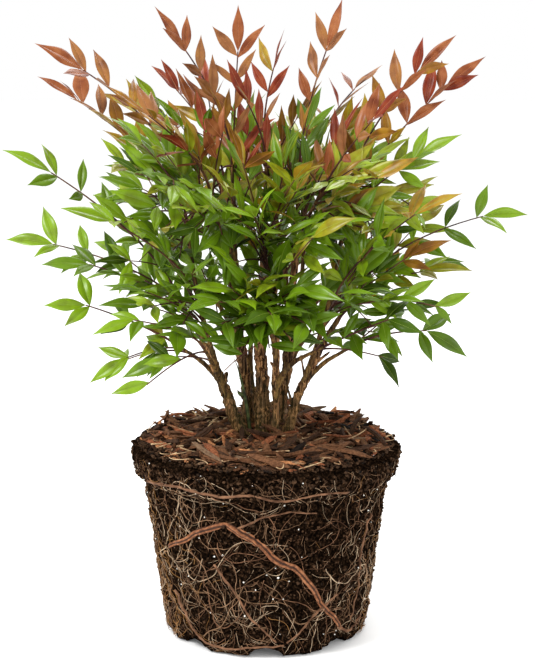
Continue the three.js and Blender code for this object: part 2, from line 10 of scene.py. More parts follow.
import bpy
import numpy as np
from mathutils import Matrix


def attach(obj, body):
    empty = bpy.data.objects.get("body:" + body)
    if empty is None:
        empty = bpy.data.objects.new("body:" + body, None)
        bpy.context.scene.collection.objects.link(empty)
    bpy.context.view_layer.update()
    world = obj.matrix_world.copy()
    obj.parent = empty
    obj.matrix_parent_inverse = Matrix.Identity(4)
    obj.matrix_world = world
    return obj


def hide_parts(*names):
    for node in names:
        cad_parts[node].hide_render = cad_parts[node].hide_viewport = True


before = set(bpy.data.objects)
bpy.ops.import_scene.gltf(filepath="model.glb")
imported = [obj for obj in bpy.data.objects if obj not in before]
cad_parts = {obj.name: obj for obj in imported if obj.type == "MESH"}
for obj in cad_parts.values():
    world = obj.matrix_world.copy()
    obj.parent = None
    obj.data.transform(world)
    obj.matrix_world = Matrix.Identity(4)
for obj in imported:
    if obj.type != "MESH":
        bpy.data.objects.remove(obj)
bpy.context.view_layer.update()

MM = 0.001

# ---------------------------------------------------------------- the source's dimensions

GROUND = 207.0  # height of the level seat round the canes
CROWN_CENTRE = np.array([0.0, 0.0, 270.0])

BALL = {
    "foot_radius": 104.0, "foot_rounding": 8.0, "step_radius": 126.0, "step_height": 166.0,
    "rim_radius": 135.0, "rim_height": 198.0, "rim_flare": 5.0, "rim_bevel": 4.0,
    "mulch_height": 203.0, "mulch_radius": 112.0, "ground_radius": 46.0,
}
NOTCH = {"count": 8, "width": 34.0, "height": 11.0, "depth": 26.0}

# Thick roots that run over the ball: radius, and (degrees round it, height) from end to end.
BIG_ROOTS = [
    (4.4, [(-146, 104), (-134, 118), (-111, 145), (-98, 133), (-86, 109), (-72, 92), (-59, 51),
           (-42, 18)]),
    (3.4, [(34, 150), (52, 118), (78, 96), (96, 54), (112, 16)]),
]

# entry and stem: distances from the crown's centre. rise and fan: degrees.
RINGS = {
    "top": {"entry": 122, "stem": 218, "rise": 1, "fan": 9},
    "upper": {"entry": 122, "stem": 208, "rise": 8, "fan": 13},
    "middle": {"entry": 70, "stem": 126, "rise": 6, "fan": 18},
    "brow": {"entry": 96, "stem": 146, "rise": 8, "fan": 19},
    "front": {"entry": 60, "stem": 104, "rise": 8, "fan": 24},
    "low": {"entry": 60, "stem": 96, "rise": 4, "fan": 18},
}


def by_ring(*values):
    """Values for each ring, in the order of RINGS."""
    return dict(zip(RINGS, values))


# name, ring, azimuth, elevation, reach, fanned rachises, leaders (azimuth, elevation, distance)
MASSES = [
    ("top_left", "top", 180, 80, 300, 2, [(188, 76, 341), (168, 85, 327)]),
    ("top_right", "top", 0, 80, 300, 2, [(352, 79.5, 335)]),
    ("top_front", "top", 270, 81, 280, 4, [(250, 79, 284)]),
    ("top_back", "top", 90, 76, 306, 3, [(84, 76, 318)]),
    ("upper_left", "upper", 180, 58, 300, 2, [(184, 59.6, 351), (174, 55.4, 331)]),
    ("upper_front_left", "upper", 226, 60, 280, 4, [(222, 61, 300)]),
    ("upper_front_right", "upper", 314, 60, 280, 4, [(316, 62, 292)]),
    ("upper_front", "brow", 270, 63, 256, 5, [(276, 62, 262)]),
    ("upper_right", "upper", 0, 58, 290, 1, [(356, 63.7, 338), (5, 58, 336), (350, 56, 262)]),
    ("upper_back_right", "upper", 60, 57, 306, 3, [(56, 59, 326)]),
    ("upper_back_left", "upper", 120, 57, 306, 3, [(126, 60, 322)]),
    ("middle_left", "middle", 180, 37, 236, 1, [(184, 44, 292), (176, 31.1, 248), (187, 33, 206)]),
    ("middle_front_left", "middle", 222, 38, 236, 4, [(220, 42, 248)]),
    ("middle_front", "front", 270, 38, 184, 8, [(252, 50, 210), (288, 48, 204), (272, 30, 166)]),
    ("middle_front_right", "middle", 318, 38, 230, 4, [(320, 44, 248)]),
    ("middle_right", "middle", 0, 37, 230, 2, [(3, 36, 267), (352, 34.4, 186)]),
    ("middle_back_right", "middle", 45, 37, 246, 4, [(42, 40, 262)]),
    ("middle_back", "middle", 90, 37, 246, 4, [(94, 40, 262)]),
    ("middle_back_left", "middle", 135, 37, 246, 4, [(138, 40, 262)]),
    ("low_left", "low", 180, 14, 160, 1, [(181, 21.3, 190), (186, 7.5, 137)]),
    ("low_front_left", "low", 225, 20, 162, 3, [(222, 24, 178)]),
    ("low_front_right", "low", 312, 21, 158, 3, [(316, 25, 172)]),
    ("low_right", "low", 0, 14, 150, 1, [(358, 15.5, 163)]),
    ("low_back_right", "low", 56, 17, 166, 2, [(52, 20, 182)]),
    ("low_back_left", "low", 124, 17, 166, 2, [(128, 20, 182)]),
]

# name, foot, bend, radius, mass
CANES = [
    ("cane_left", (-25, -9), (-50, -9, 285), 7.2, "middle_left"),
    ("cane_inner_left", (-15, 10), (-34, 15, 322), 6.2, "top_left"),
    ("cane_centre", (-3, -9), (-6, -10, 320), 8.2, "top_front"),
    ("cane_slim", (8, -24), (16, -34, 300), 3.6, "upper_front"),
    ("cane_inner_right", (10, 8), (28, 9, 300), 7.0, "top_right"),
    ("cane_right", (21, -9), (38, -8, 278), 5.6, "middle_right"),
    ("cane_back_left", (-9, 27), (-17, 48, 300), 5.8, "middle_back_left"),
    ("cane_back_right", (12, 27), (21, 47, 300), 5.8, "middle_back_right"),
]
CANE_TIP_RADIUS = 3.4
ROOT_FLARE = {"widening": 0.2, "height": 9.0}

# mass, cane, share of the cane at which the bough leaves it
BOUGHS = [
    ("upper_left", "cane_left", 0.44), ("middle_front_left", "cane_left", 0.34),
    ("upper_front_left", "cane_inner_left", 0.34), ("upper_front_right", "cane_centre", 0.36),
    ("top_back", "cane_inner_right", 0.4), ("middle_front", "cane_slim", 0.42),
    ("upper_right", "cane_right", 0.5), ("middle_front_right", "cane_right", 0.32),
    ("upper_back_left", "cane_back_left", 0.5), ("middle_back", "cane_back_left", 0.32),
    ("upper_back_right", "cane_back_right", 0.5), ("low_left", "cane_left", 0.42),
    ("low_front_left", "cane_left", 0.24), ("low_front_right", "cane_slim", 0.3),
    ("low_right", "cane_right", 0.42), ("low_back_right", "cane_back_right", 0.34),
    ("low_back_left", "cane_back_left", 0.22),
]
BOUGH_RADIUS = 3.3
BOUGH_TIP_RADIUS = 2.3
BOUGH_LIFT = 0.45  # how far it sets out along its cane, as a share of its chord
BOUGH_LEAST = 0.12  # least share of it that is bare
LINE_STEP = 0.01
GAP = 0.3  # between one solid and the next
LIMB_CLEARANCE = 1.2  # between foliage and the limbs that it passes

BRANCHED = 0.85  # share of a mass's stem that bears rachises
# margin: how far a rachis keeps inside its mass's wedge.
RACHIS = {"radius": 1.35, "lift": 0.4, "margin": 2.0}
RACHIS_CHECKS = (0.25, 0.5, 0.75, 1.0)  # shares of a rachis at which its room is checked
SHORTEST_REACH = 0.66
PULLS = (1, 0.7, 0.4)  # shares of its lean that are tried until it fits
MASS_TURN = 50
GOLDEN_ANGLE = 137.5
CHANCE = {"turn": 20, "lean": 0.2, "roll": 25, "spread": 9}
SEEDS = {
    "fan": 0, "roll": 500, "leaves": 1000, "stems": 700, "canes": 300, "boughs": 500, "stubs": 77,
    "soil": 11, "roots": 5, "strands": 800, "mulch": 23, "shreds": 29, "crumbs": 31,
}

# ---------------------------------------------------------------- the finer growth

# The leaflets are shorter than the source's leaves, so the leaders below the top go on further.
LEADER_GROWTH = 8.0
TOP_GROWTH = 2.0
# The fanned rachises stop short at the top, where the leaders stand alone above them.
FAN_SHARE = by_ring(0.86, 0.93, 1.0, 1.0, 1.0, 1.0)
# Between the nodes at the end of a rachis, by how much more for each one further back, and the
# bare length at its root.
SPACING = by_ring(23.0, 21.0, 29.0, 25.0, 25.0, 38.0)
NODES = {"widening": 0.12, "bare": 22.0}
# How many nodes behind the last bear single leaflets. Those below bear side sprays.
SINGLES = by_ring(5, 5, 3, 2, 2, 6)
FILLING_SINGLES = 1  # the same on the finer rachises between

# Lengths of leaflets: at the end of a rachis, beside it, alone, and on the side sprays.
LEAFLET = {"end": 48.0, "pair": 40.0, "single": 41.0, "side_end": 40.0, "side_pair": 36.0}
# Their size in each ring, as a share of that, and their width, as a share of the length.
RING_SIZE = by_ring(1.0, 1.09, 1.02, 1.05, 1.13, 0.98)
WIDTH = by_ring(0.28, 0.31, 0.31, 0.3, 0.31, 0.35)
LEAFLET_WIDEST = 0.45  # share of the length
RIB_RADIUS = 0.0075  # of the length
RIB_HEIGHT = 1.2  # against its width
RIB_END = 0.94  # share of the length
LEAFLET_ROWS = 11
LEAFLET_COLUMNS = 4  # across each half
PAIR_BEHIND = (3.0, 8.0)  # from the end of a rachis back to the roots of its last pair
SINGLE_BEHIND = (0.0, 7.0)  # from the other nodes back to the roots of theirs
SPINE_RISE = 0.3  # a leaflet rises at its root by this share of its bow
POINTED = {"root": 1.25, "tip": 1.4}  # how drawn out its two ends are
CURL = 0.28  # how far its edges curl down, as a share of its half width
# How its edges ripple: a share of the half width, radians from end to end, and how far one half
# leads the other.
RIPPLE = {"height": 0.09, "pitch": 9.4, "lead": 0.9}
LEAFLET_CHECKS = (0.5, 0.8, 1.0)  # shares of the length at which its room is checked
ROOM = 6.5  # least distance between the middles of two leaflets
LOOSENESS = 16.0  # how far a leaflet may reach over the side of its mass's wedge
# lengths, lift and sag are shares, picked by chance. The sprays are longer by growth for each
# node further back, up to the third, and turn_up is how far their faces turn up to the light.
SIDE_SPRAY = {
    "length": 34.0, "lengths": (0.75, 1.15), "growth": 0.12, "spread": 44, "lift": (0.02, 0.12),
    "sag": (0.0, 0.16), "turn_up": 0.3, "radius": 0.75, "end_radius": 0.55,
}
# The second pair of a side spray that is long enough. Each pair starts a little behind its
# place, by a share of the spray.
SECOND_PAIR = {"least_length": 38.0, "place": 0.52, "size": 0.95}
PAIR_BACK = 0.04
FINE = {"stem": 1.4, "rachis": 1.05, "tip": 0.65}  # radii at a stem's end and along a rachis
TWIG_FLARE = (1.5, 1.25, 1.08)  # how much thicker a rachis is over its first rings
BARE_STUMP = 0.1  # the share that is left of a leader with no leaflets

# How many finer rachises fill each mass, how far they lean and reach, as shares of the ring's
# fan and the mass's reach, and from where on its stem they start.
FILLING = by_ring(8, 11, 4, 12, 18, 0)
FILLING_LEAN = 1.8
FILLING_START = (0.08, 1.0)
FILLING_TURN = 70  # degrees between them and the fanned rachises
FILLING_REACH = by_ring(
    (0.5, 0.88), (0.55, 1.06), (0.5, 0.85), (0.5, 0.92), (0.5, 0.95), (0.6, 0.95),
)
# The share of their number and reach that is left at the back and at the sides, where the sky
# shows through, and how far back or aside a mass must point to count as there.
THINNER = {"back": (0.85, 1), "side": (0.8, 0.75), "front": (1, 1)}
FAR_BACK = 0.1
FAR_ASIDE = 0.4

# The lowest that foliage hangs: in the middle of the crown, at its sides, and how much higher
# it is for each millimetre to the front.
SKIRT = {"middle": 294.0, "side": 254.0, "from": 70.0, "to": 125.0, "rise": 0.18}

# Degrees by which a leaflet bows down along its length, and how much its two halves fold up.
BOW = by_ring((2, 20), (4, 30), (12, 50), (10, 44), (15, 55), (12, 48))
CREASE = (14, 30)
# Degrees between a leaflet of a pair and its rachis, and other stances tried where it can't fit:
# degrees more and share of its length.
SPREAD = by_ring(40, 46, 54, 50, 54, 54)
STANCES = ((0, 1), (-13, 0.95), (14, 0.88), (-22, 0.75))
# Degrees by which the two sides of a spray fold up.
FOLD = by_ring(22, 26, 20, 30, 20, 10)
# How far whole sprays and their leaflets turn their faces to the light, and by chance.
TURN_TO_LIGHT = {"spray": 0.65, "leaflet": 0.55}
FLUTTER = 0.22
# Other standard deviations: of lengths and widths as shares, of angles in degrees.
VARIED = {"end": 0.06, "pair": 0.09, "side_end": 0.08, "width": 0.09, "sweep": 0.05, "fold": 9,
          "side_spread": 6}
FRONT_LIGHT = np.array([0.0, -1.0, 0.15])  # the way to the light for all masses but the back ones
# How far leaflets turn down under their weight, and the shares of that picked by chance.
DROOPS = (0.2, 1.0)
DROOP = by_ring(0.0, 0.04, 0.24, 0.16, 0.34, 0.6)

# ---------------------------------------------------------------- helpers

MASK = 0xFFFFFFFF
UP = np.array([0.0, 0.0, 1.0])
WAVES = 26  # in each smooth noise


def seeded(seed):
    """The source's repeatable numbers from 0 to 1."""
    state = ((seed + 1) * 2654435761) & MASK

    def draw():
        nonlocal state
        state = (state + 0x6D2B79F5) & MASK
        mixed = ((state ^ (state >> 15)) * (state | 1)) & MASK
        mixed ^= (mixed + (mixed ^ (mixed >> 7)) * (mixed | 61)) & MASK
        return ((mixed ^ (mixed >> 14)) & MASK) / 2**32

    return draw


def within(amount, draw):
    return (draw() * 2 - 1) * amount


def unit(v):
    return v / np.maximum(np.linalg.norm(v, axis=-1, keepdims=True), 1e-9)


def square_to(axis, wanted):
    """A unit vector square to an axis, as close as can be to the wanted one. Works on arrays."""
    return unit(wanted - axis * (wanted * axis).sum(-1, keepdims=True))


def level_side(way):
    """The level direction to the left of a way."""
    return square_to(way, np.array([-way[1], way[0], 0.0]))


def mix(a, b, t):
    return a + (b - a) * t


def evenly(count):
    return np.linspace(0, 1, count)


def full_turn(count):
    return np.linspace(0, 2 * np.pi, count, endpoint=False)


def radial(angle):
    """Level ways out from the middle, at angles in radians."""
    return np.stack([np.cos(angle), np.sin(angle), np.zeros_like(angle)], -1)


def direction(azimuth, elevation):
    a, e = math.radians(azimuth), math.radians(elevation)
    return np.array([math.cos(e) * math.cos(a), math.cos(e) * math.sin(a), math.sin(e)])


def in_crown(azimuth, elevation, distance):
    return CROWN_CENTRE + direction(azimuth, elevation) * distance


def waves(points, wavelength, seed):
    """Smooth seeded noise at points, about -2 to 2, made of waves of about that length."""
    rng = np.random.default_rng(seed)
    ways = unit(rng.normal(size=(WAVES, 3)))
    pitch = 2 * np.pi / (wavelength * rng.uniform(0.6, 1.7, WAVES))
    start = rng.uniform(0, 2 * np.pi, WAVES)
    return np.sin((points @ ways.T) * pitch + start).sum(-1) / math.sqrt(WAVES / 2)


class Bezier:
    """A quadratic curve from foot, by way of bend, to end."""

    def __init__(self, foot, bend, end):
        self.foot, self.bend, self.end = (np.array(p, float) for p in (foot, bend, end))
        line = self.point(evenly(201))
        self.length = np.linalg.norm(np.diff(line, axis=0), axis=1).sum()

    def point(self, t):
        t = np.asarray(t, float)[..., None]
        return (1 - t) ** 2 * self.foot + 2 * (1 - t) * t * self.bend + t * t * self.end

    def tangent(self, t):
        t = np.asarray(t, float)[..., None]
        return unit((1 - t) * (self.bend - self.foot) + t * (self.end - self.bend))


def curved(foot, bend, end, count):
    """Points along a quadratic curve."""
    return Bezier(foot, bend, end).point(evenly(count))


def in_scene(name, data):
    """An object of that mesh, lamp or camera."""
    thing = bpy.data.objects.new(name, data)
    bpy.context.scene.collection.objects.link(thing)
    return thing


class Heap:
    """Points and faces of many small things, gathered into one piece."""

    def __init__(self):
        self.points, self.faces, self.count = [], [], 0

    def add(self, points, faces):
        """faces is one array of corners, or several with faces of different sizes."""
        self.points.append(points.reshape(-1, 3))
        for block in faces if isinstance(faces, list) else [faces]:
            self.faces.append(block + self.count)
        self.count += len(self.points[-1])

    def add_grids(self, grids, faces):
        """Adds many grids of points, with the same faces on each."""
        first = np.arange(len(grids))[:, None, None] * (grids.shape[1] * grids.shape[2])
        self.add(grids, (faces[None] + first).reshape(-1, 4))

    def made(self, name, look, slot, replaces=(), smooth=True):
        faces = [tuple(face) for block in self.faces for face in block.tolist()]
        mesh = bpy.data.meshes.new(name)
        mesh.from_pydata((np.concatenate(self.points) * MM).tolist(), [], faces)
        mesh.polygons.foreach_set("use_smooth", [smooth] * len(faces))
        mesh.update()
        mesh.materials.append(look)
        piece = in_scene(name, mesh)
        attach(piece, "root")
        if replaces:
            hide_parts(*replaces)


def grid_faces(rows, columns, closed):
    """Quads over a grid of points, round it too where it is closed."""
    k = np.arange(rows - 1)[:, None] * columns
    j = np.arange(columns if closed else columns - 1)[None, :]
    after = (j + 1) % columns
    return np.stack([k + j, k + after, k + columns + after, k + columns + j], -1).reshape(-1, 4)


def closed_faces(rows, sides):
    """The faces of a tube: quads round it and a cap at each end."""
    ends = np.array([np.arange(sides)[::-1], (rows - 1) * sides + np.arange(sides)])
    return [grid_faces(rows, sides, True), ends]


def sections(points):
    """For each point of a line: two directions square to it, that turn as little as can be."""
    ways = unit(np.gradient(points, axis=0))
    side = np.array([0.3, 1.0, 0.2])  # no line starts out this way
    sides = []
    for way in ways:
        side = square_to(way, side)
        sides.append(side)
    sides = np.array(sides)
    return sides, np.cross(ways, sides)


def tube(points, radii, sides, relief=None):
    """A closed tube along a line. relief, if given, is a share of the radius for each point."""
    points = np.asarray(points, float)
    a, b = sections(points)
    turn = full_turn(sides)
    ring = a[:, None] * np.cos(turn)[None, :, None] + b[:, None] * np.sin(turn)[None, :, None]
    radii = np.broadcast_to(np.asarray(radii, float), len(points))[:, None]
    if relief is not None:
        radii = radii * (1 + relief)
    return points[:, None] + ring * radii[..., None], closed_faces(len(points), sides)


# ---------------------------------------------------------------- materials


def linear(colour):
    """A colour in 0-255 steps, as on a screen, as a shader's colour."""
    share = [c / 255 for c in colour]
    values = [c / 12.92 if c <= 0.04045 else ((c + 0.055) / 1.055) ** 2.4 for c in share]
    return (*values, 1.0)


def new_look(name, colour, roughness, specular=0.5):
    look = bpy.data.materials.new(name)
    look.use_nodes = True
    shader = look.node_tree.nodes["Principled BSDF"]
    shader.inputs["Base Color"].default_value = linear(colour)
    shader.inputs["Roughness"].default_value = roughness
    shader.inputs["Specular IOR Level"].default_value = specular
    return look, look.node_tree, shader


def mapping_node(tree, scale=(1, 1, 1)):
    place = tree.nodes.new("ShaderNodeTexCoord")
    mapping = tree.nodes.new("ShaderNodeMapping")
    mapping.inputs["Scale"].default_value = scale
    tree.links.new(place.outputs["Object"], mapping.inputs["Vector"])
    return mapping.outputs["Vector"]


def noise_node(tree, place, scale, detail=4.0, roughness=0.6, distortion=0.0):
    noise = tree.nodes.new("ShaderNodeTexNoise")
    noise.inputs["Scale"].default_value = scale
    noise.inputs["Detail"].default_value = detail
    noise.inputs["Roughness"].default_value = roughness
    noise.inputs["Distortion"].default_value = distortion
    tree.links.new(place, noise.inputs["Vector"])
    return noise.outputs["Fac"]


def ramp_node(tree, value, stops):
    """Colours by value: (place, colour) stops."""
    ramp = tree.nodes.new("ShaderNodeValToRGB")
    elements = ramp.color_ramp.elements
    while len(elements) < len(stops):
        elements.new(0.5)
    for element, (place, colour) in zip(elements, stops):
        element.position = place
        element.color = linear(colour)
    tree.links.new(value, ramp.inputs["Fac"])
    return ramp.outputs["Color"]


def mix_node(tree, share, a, b, kind="MIX"):
    node = tree.nodes.new("ShaderNodeMix")
    node.data_type = "RGBA"
    node.blend_type = kind
    for socket, value in ((0, share), (6, a), (7, b)):
        if isinstance(value, bpy.types.NodeSocket):
            tree.links.new(value, node.inputs[socket])
        else:
            node.inputs[socket].default_value = value
    return node.outputs[2]


def add_bump(tree, shader, value, depth):
    bump = tree.nodes.new("ShaderNodeBump")
    bump.inputs["Strength"].default_value = 1.0
    bump.inputs["Distance"].default_value = depth * MM
    tree.links.new(value, bump.inputs["Height"])
    tree.links.new(bump.outputs["Normal"], shader.inputs["Normal"])


def mottled(name, stops, scale, roughness, stretch=(1, 1, 1), bump=0.0, specular=0.12):
    """A look whose colour wanders through its stops, with bump of the same grain."""
    look, tree, shader = new_look(name, stops[0][1], roughness, specular)
    place = mapping_node(tree, stretch)
    grain = noise_node(tree, place, scale)
    tree.links.new(ramp_node(tree, grain, stops), shader.inputs["Base Color"])
    if bump:
        add_bump(tree, shader, grain, bump)
    return look


WORN_BARK = [(0.4, (58, 40, 30)), (0.52, (190, 172, 146)), (0.62, (104, 68, 46))]
MOSS = {"height": 75.0, "most": 0.55, "cover": 0.6}  # fades out this far above the ground


def foot_share(tree):
    """A value that is highest at the ground and fades out above it."""
    place = tree.nodes.new("ShaderNodeTexCoord")
    split = tree.nodes.new("ShaderNodeSeparateXYZ")
    height = tree.nodes.new("ShaderNodeMapRange")
    height.inputs["From Min"].default_value = (GROUND + MOSS["height"]) * MM
    height.inputs["From Max"].default_value = GROUND * MM
    height.inputs["To Max"].default_value = MOSS["most"]
    tree.links.new(place.outputs["Object"], split.inputs[0])
    tree.links.new(split.outputs["Z"], height.inputs["Value"])
    return height.outputs["Result"]


def bark_look(name, light, middle, dark, moss):
    """Fissured bark: streaks along the limb, darkest where their bump sinks, which is partly the
    bark's own colour and partly painted shade in the fissures; patches of other ages, and a
    greener foot.
    """
    look, tree, shader = new_look(name, middle, 0.8, 0.1)
    streaks = noise_node(tree, mapping_node(tree, (1, 1, 0.11)), 430, 6, 0.66, 0.5)
    patches = noise_node(tree, mapping_node(tree, (1, 1, 0.5)), 95, 3)
    specks = noise_node(tree, mapping_node(tree, (1, 1, 0.7)), 1500, 2)
    # The dark end of the streaks lies in the fissures of the bump: partly the bark's own colour and
    # partly painted shade.
    base = ramp_node(tree, streaks, [(0.38, dark), (0.47, middle), (0.58, light), (0.72, middle)])
    skin = mix_node(tree, 0.65, base, ramp_node(tree, patches, WORN_BARK), "OVERLAY")
    speckled = ramp_node(tree, specks, [(0.35, dark), (0.6, light)])
    skin = mix_node(tree, 0.35, skin, speckled, "SOFT_LIGHT")
    green = mix_node(tree, MOSS["cover"], skin, linear(moss))
    skin = mix_node(tree, foot_share(tree), skin, green)
    tree.links.new(skin, shader.inputs["Base Color"])
    add_bump(tree, shader, streaks, 0.5)
    return look


# Leaf tints in the order in which a leaf ages, with the slot of each.
TINTS = [
    ("copper_red", (118, 46, 27), "leaf_copper"),
    ("copper", (128, 71, 39), "leaf_copper"),
    ("rose_copper", (136, 90, 54), "leaf_copper"),
    ("bronze", (128, 86, 28), "leaf_copper"),
    ("amber", (148, 114, 28), "leaf_olive"),
    ("olive", (130, 126, 22), "leaf_olive"),
    ("lime", (127, 145, 28), "leaf_olive"),
    ("bright_green", (112, 142, 18), "leaf_green"),
    ("fresh_green", (90, 121, 13), "leaf_green"),
    ("leaf_green", (79, 107, 11), "leaf_green"),
    ("deep_green", (58, 83, 9), "leaf_deep_green"),
    ("dark_green", (46, 65, 8), "leaf_deep_green"),
]
TINT_INDEX = {name: k for k, (name, _, _) in enumerate(TINTS)}

# How sprays are dealt their tints: young ones alike, grown ones by the height of their end.
YOUNG = {"copper_red": 6, "copper": 9, "rose_copper": 3, "bronze": 6, "amber": 2, "olive": 1}
GROWN = [
    (490, {"bronze": 3, "amber": 4, "olive": 6, "lime": 3, "bright_green": 3, "fresh_green": 2}),
    (450, {"amber": 3, "olive": 7, "lime": 3, "bright_green": 3, "fresh_green": 4,
           "leaf_green": 3}),
    (385, {"olive": 1, "lime": 2, "bright_green": 6, "fresh_green": 9, "leaf_green": 5}),
    (0, {"bright_green": 4, "fresh_green": 9, "leaf_green": 6}),
]
# Height of a spray's end from which it may be young, that at which most are, and the share of
# those: in the middle of the crown and this far to the side.
YOUTH = {"middle": (455.0, 565.0, 0.7), "side": (500.0, 516.0, 1.0)}
YOUTH_ASIDE = 70.0
# How much lower the yellower ones reach, for each millimetre further aside than YELLOW_FROM. At
# the left they end higher instead.
YELLOW_LEFT = -0.4
YELLOW_RIGHT = 0.8
YELLOW_FROM = 60.0
FRESHER_FROM = -50.0  # green sprays further to the left than this are one tint fresher
# Green sprays step darker from node to node, towards the inside of the crown: partly their age and
# partly painted shade there.
PACE = {"dealt": 0.55, "fixed": 0.4}  # how fast the leaflets of a spray age from node to node
AGEING = {"young": 1.9, "grown": 0.6}  # tints for each step of that, below olive and from it on
ODD_ONES = 0.05  # share of leaflets that are greener than the rest of their spray
ODD_STEPS = (2, 4)  # by how many tints
TINT_CHANCE = {"node": 0.4, "leaflet": 0.65}  # standard deviations in tints

# Sprays whose tint stands out: by mass and number of the rachis.
SPRAY_TINTS = {
    "top_left": {0: "copper", 1: "copper", 3: "bright_green", 7: "copper_red"},
    "top_right": {0: "copper", 1: "bright_green", 4: "copper", 10: "leaf_green"},
    "top_front": {0: "copper_red"},
    "upper_front": {0: "olive", 1: "amber", 3: "leaf_green"},
    "upper_left": {0: "copper", 1: "copper"},
    "upper_front_left": {0: "bronze", 10: "bright_green", 11: "copper_red", 15: "olive"},
    "upper_front_right": {0: "copper_red", 1: "amber", 5: "amber", 8: "olive", 12: "amber",
                          13: "amber"},
    "upper_right": {0: "copper", 1: "copper", 2: "bright_green"},
    "middle_left": {0: "bright_green", 1: "fresh_green"},
    "middle_front": {0: "olive"},
    "middle_front_right": {0: "amber", 2: "fresh_green", 4: "amber"},
    "middle_right": {0: "bright_green", 1: "olive", 2: "olive"},
    "low_left": {0: "bright_green", 1: "bright_green"},
    "low_right": {0: "leaf_green", 1: "leaf_green"},
    "low_front_right": {0: "leaf_green", 1: "leaf_green"},
}

# ---------------------------------------------------------------- limbs


def stem_end(mass):
    _, ring, azimuth, elevation, *_ = mass
    return in_crown(azimuth, elevation + RINGS[ring]["rise"], RINGS[ring]["stem"])


class Limb:
    """A cane or bough: its line, and the share of it that is bare of foliage."""

    def __init__(self, name, mass, curve, start, earliest):
        self.name, self.mass, self.curve, self.start = name, mass, curve, start
        self.entry = earliest
        entry = RINGS[mass[1]]["entry"]
        while self.entry < 1 and np.linalg.norm(curve.point(self.entry) - CROWN_CENTRE) < entry:
            self.entry += LINE_STEP

    def measure(self):
        """Keeps the points and radii that clearances are measured to."""
        places = np.linspace(self.start, self.entry, 25)
        self.samples = self.curve.point(places)
        self.thickness = np.array([self.radius_at(t) for t in places])


def to_limb(point, limb):
    return (np.linalg.norm(limb.samples - point, axis=1) - limb.thickness).min()


def mass_named(name):
    return next(mass for mass in MASSES if mass[0] == name)


def cane_limb(name, foot, bend, radius, mass_name):
    mass = mass_named(mass_name)
    limb = Limb(name, mass, Bezier((*foot, GROUND), bend, stem_end(mass)), 0.0, 0.0)
    widening, height = ROOT_FLARE["widening"], ROOT_FLARE["height"]

    def radius_at(t):
        flare = widening * math.exp(-t * limb.curve.length / height)
        return mix(radius, CANE_TIP_RADIUS, max(t, 0) / limb.entry) * (1 + flare)

    limb.radius_at = radius_at
    limb.measure()
    return limb


def bough_limb(mass_name, cane, share):
    mass = mass_named(mass_name)
    at = share * cane.entry
    start = cane.curve.point(at)
    end = stem_end(mass)
    bend = start + cane.curve.tangent(at) * np.linalg.norm(end - start) * BOUGH_LIFT
    curve = Bezier(start, bend, end)
    collar = LINE_STEP
    while to_limb(curve.point(collar), cane) < BOUGH_RADIUS + LIMB_CLEARANCE:
        collar += LINE_STEP
    clear = collar + GAP / curve.length
    limb = Limb(f"bough_{mass_name}", mass, curve, clear, clear + BOUGH_LEAST)
    limb.radius_at = lambda t: mix(BOUGH_RADIUS, BOUGH_TIP_RADIUS, t / limb.entry)
    limb.measure()
    return limb


canes = [cane_limb(*row) for row in CANES]
boughs = [bough_limb(mass, next(c for c in canes if c.name == cane), at)
          for mass, cane, at in BOUGHS]
limbs = canes + boughs
limb_points = np.concatenate([limb.samples for limb in limbs])
limb_radii = np.concatenate([limb.thickness for limb in limbs])


def clear_of_limbs(points, room):
    apart = np.linalg.norm(np.atleast_2d(points)[:, None] - limb_points, axis=2) - limb_radii
    return apart.min() > room


# ---------------------------------------------------------------- foliage: the source's rule

wedge_axes = np.array([direction(mass[2], mass[3]) for mass in MASSES])


def standing(index):
    """Whether a mass stands at the back of the crown, at its side or in front."""
    x, y, _ = wedge_axes[index]
    if y > FAR_BACK:
        return "back"
    return "side" if abs(x) > FAR_ASIDE and abs(y) < FAR_BACK else "front"


# Where the light that each mass grew in came from: outside for those at the back, else the front.
light_ways = [square_to(UP, axis) if standing(index) == "back" else FRONT_LIGHT
              for index, axis in enumerate(wedge_axes)]


def in_wedge(index, points, margin):
    others = np.delete(wedge_axes, index, axis=0)
    towards = unit(wedge_axes[index] - others)
    return ((np.atleast_2d(points) - CROWN_CENTRE) @ towards.T).min() >= margin


def fanned(index, turn, lean):
    """The way out of the crown that leans so far from the middle of a mass's wedge, in radians."""
    axis = wedge_axes[index]
    right = level_side(axis)
    up = np.cross(axis, right)
    off = math.tan(lean)
    return unit(axis + right * off * math.cos(turn) + up * off * math.sin(turn))


def rachis_ends(index):
    """Where the rachises of a mass may end: first the leaders, then the fanned ones, each with
    the ends to try when the first doesn't fit."""
    _, ring, _, _, reach, fan, leaders = MASSES[index]
    draw = seeded(SEEDS["fan"] + index)
    growth = TOP_GROWTH if ring == "top" else LEADER_GROWTH
    ends = [[in_crown(*leader[:2], leader[2] + growth)] for leader in leaders]
    for k in range(fan):
        turn = math.radians(k * GOLDEN_ANGLE + index * MASS_TURN + within(CHANCE["turn"], draw))
        lean = math.radians(RINGS[ring]["fan"] * (1 + within(CHANCE["lean"], draw)))
        distance = reach * mix(SHORTEST_REACH, 1, draw()) * FAN_SHARE[ring]
        ends.append([CROWN_CENTRE + fanned(index, turn, lean * pull) * distance for pull in PULLS])
    return ends


def rachises(foot, tip, index):
    """The arching rachises of a mass, each with its roll, as in the source."""
    ends = rachis_ends(index)
    draw = seeded(SEEDS["roll"] + index)
    upwards = unit(tip - foot)
    found = []
    for k, choices in enumerate(ends):
        roll = math.radians(within(CHANCE["roll"], draw))
        start = mix(foot, tip, 1 - BRANCHED * k / len(ends))
        for end in choices:
            chord = end - start
            way = upwards if k == 0 else unit(upwards + unit(chord))
            curve = Bezier(start, start + way * np.linalg.norm(chord) * RACHIS["lift"], end)
            checks = curve.point(RACHIS_CHECKS)
            room = LIMB_CLEARANCE + RACHIS["radius"]
            if in_wedge(index, checks, RACHIS["margin"]) and clear_of_limbs(checks, room):
                found.append((curve, roll))
                break
    return found


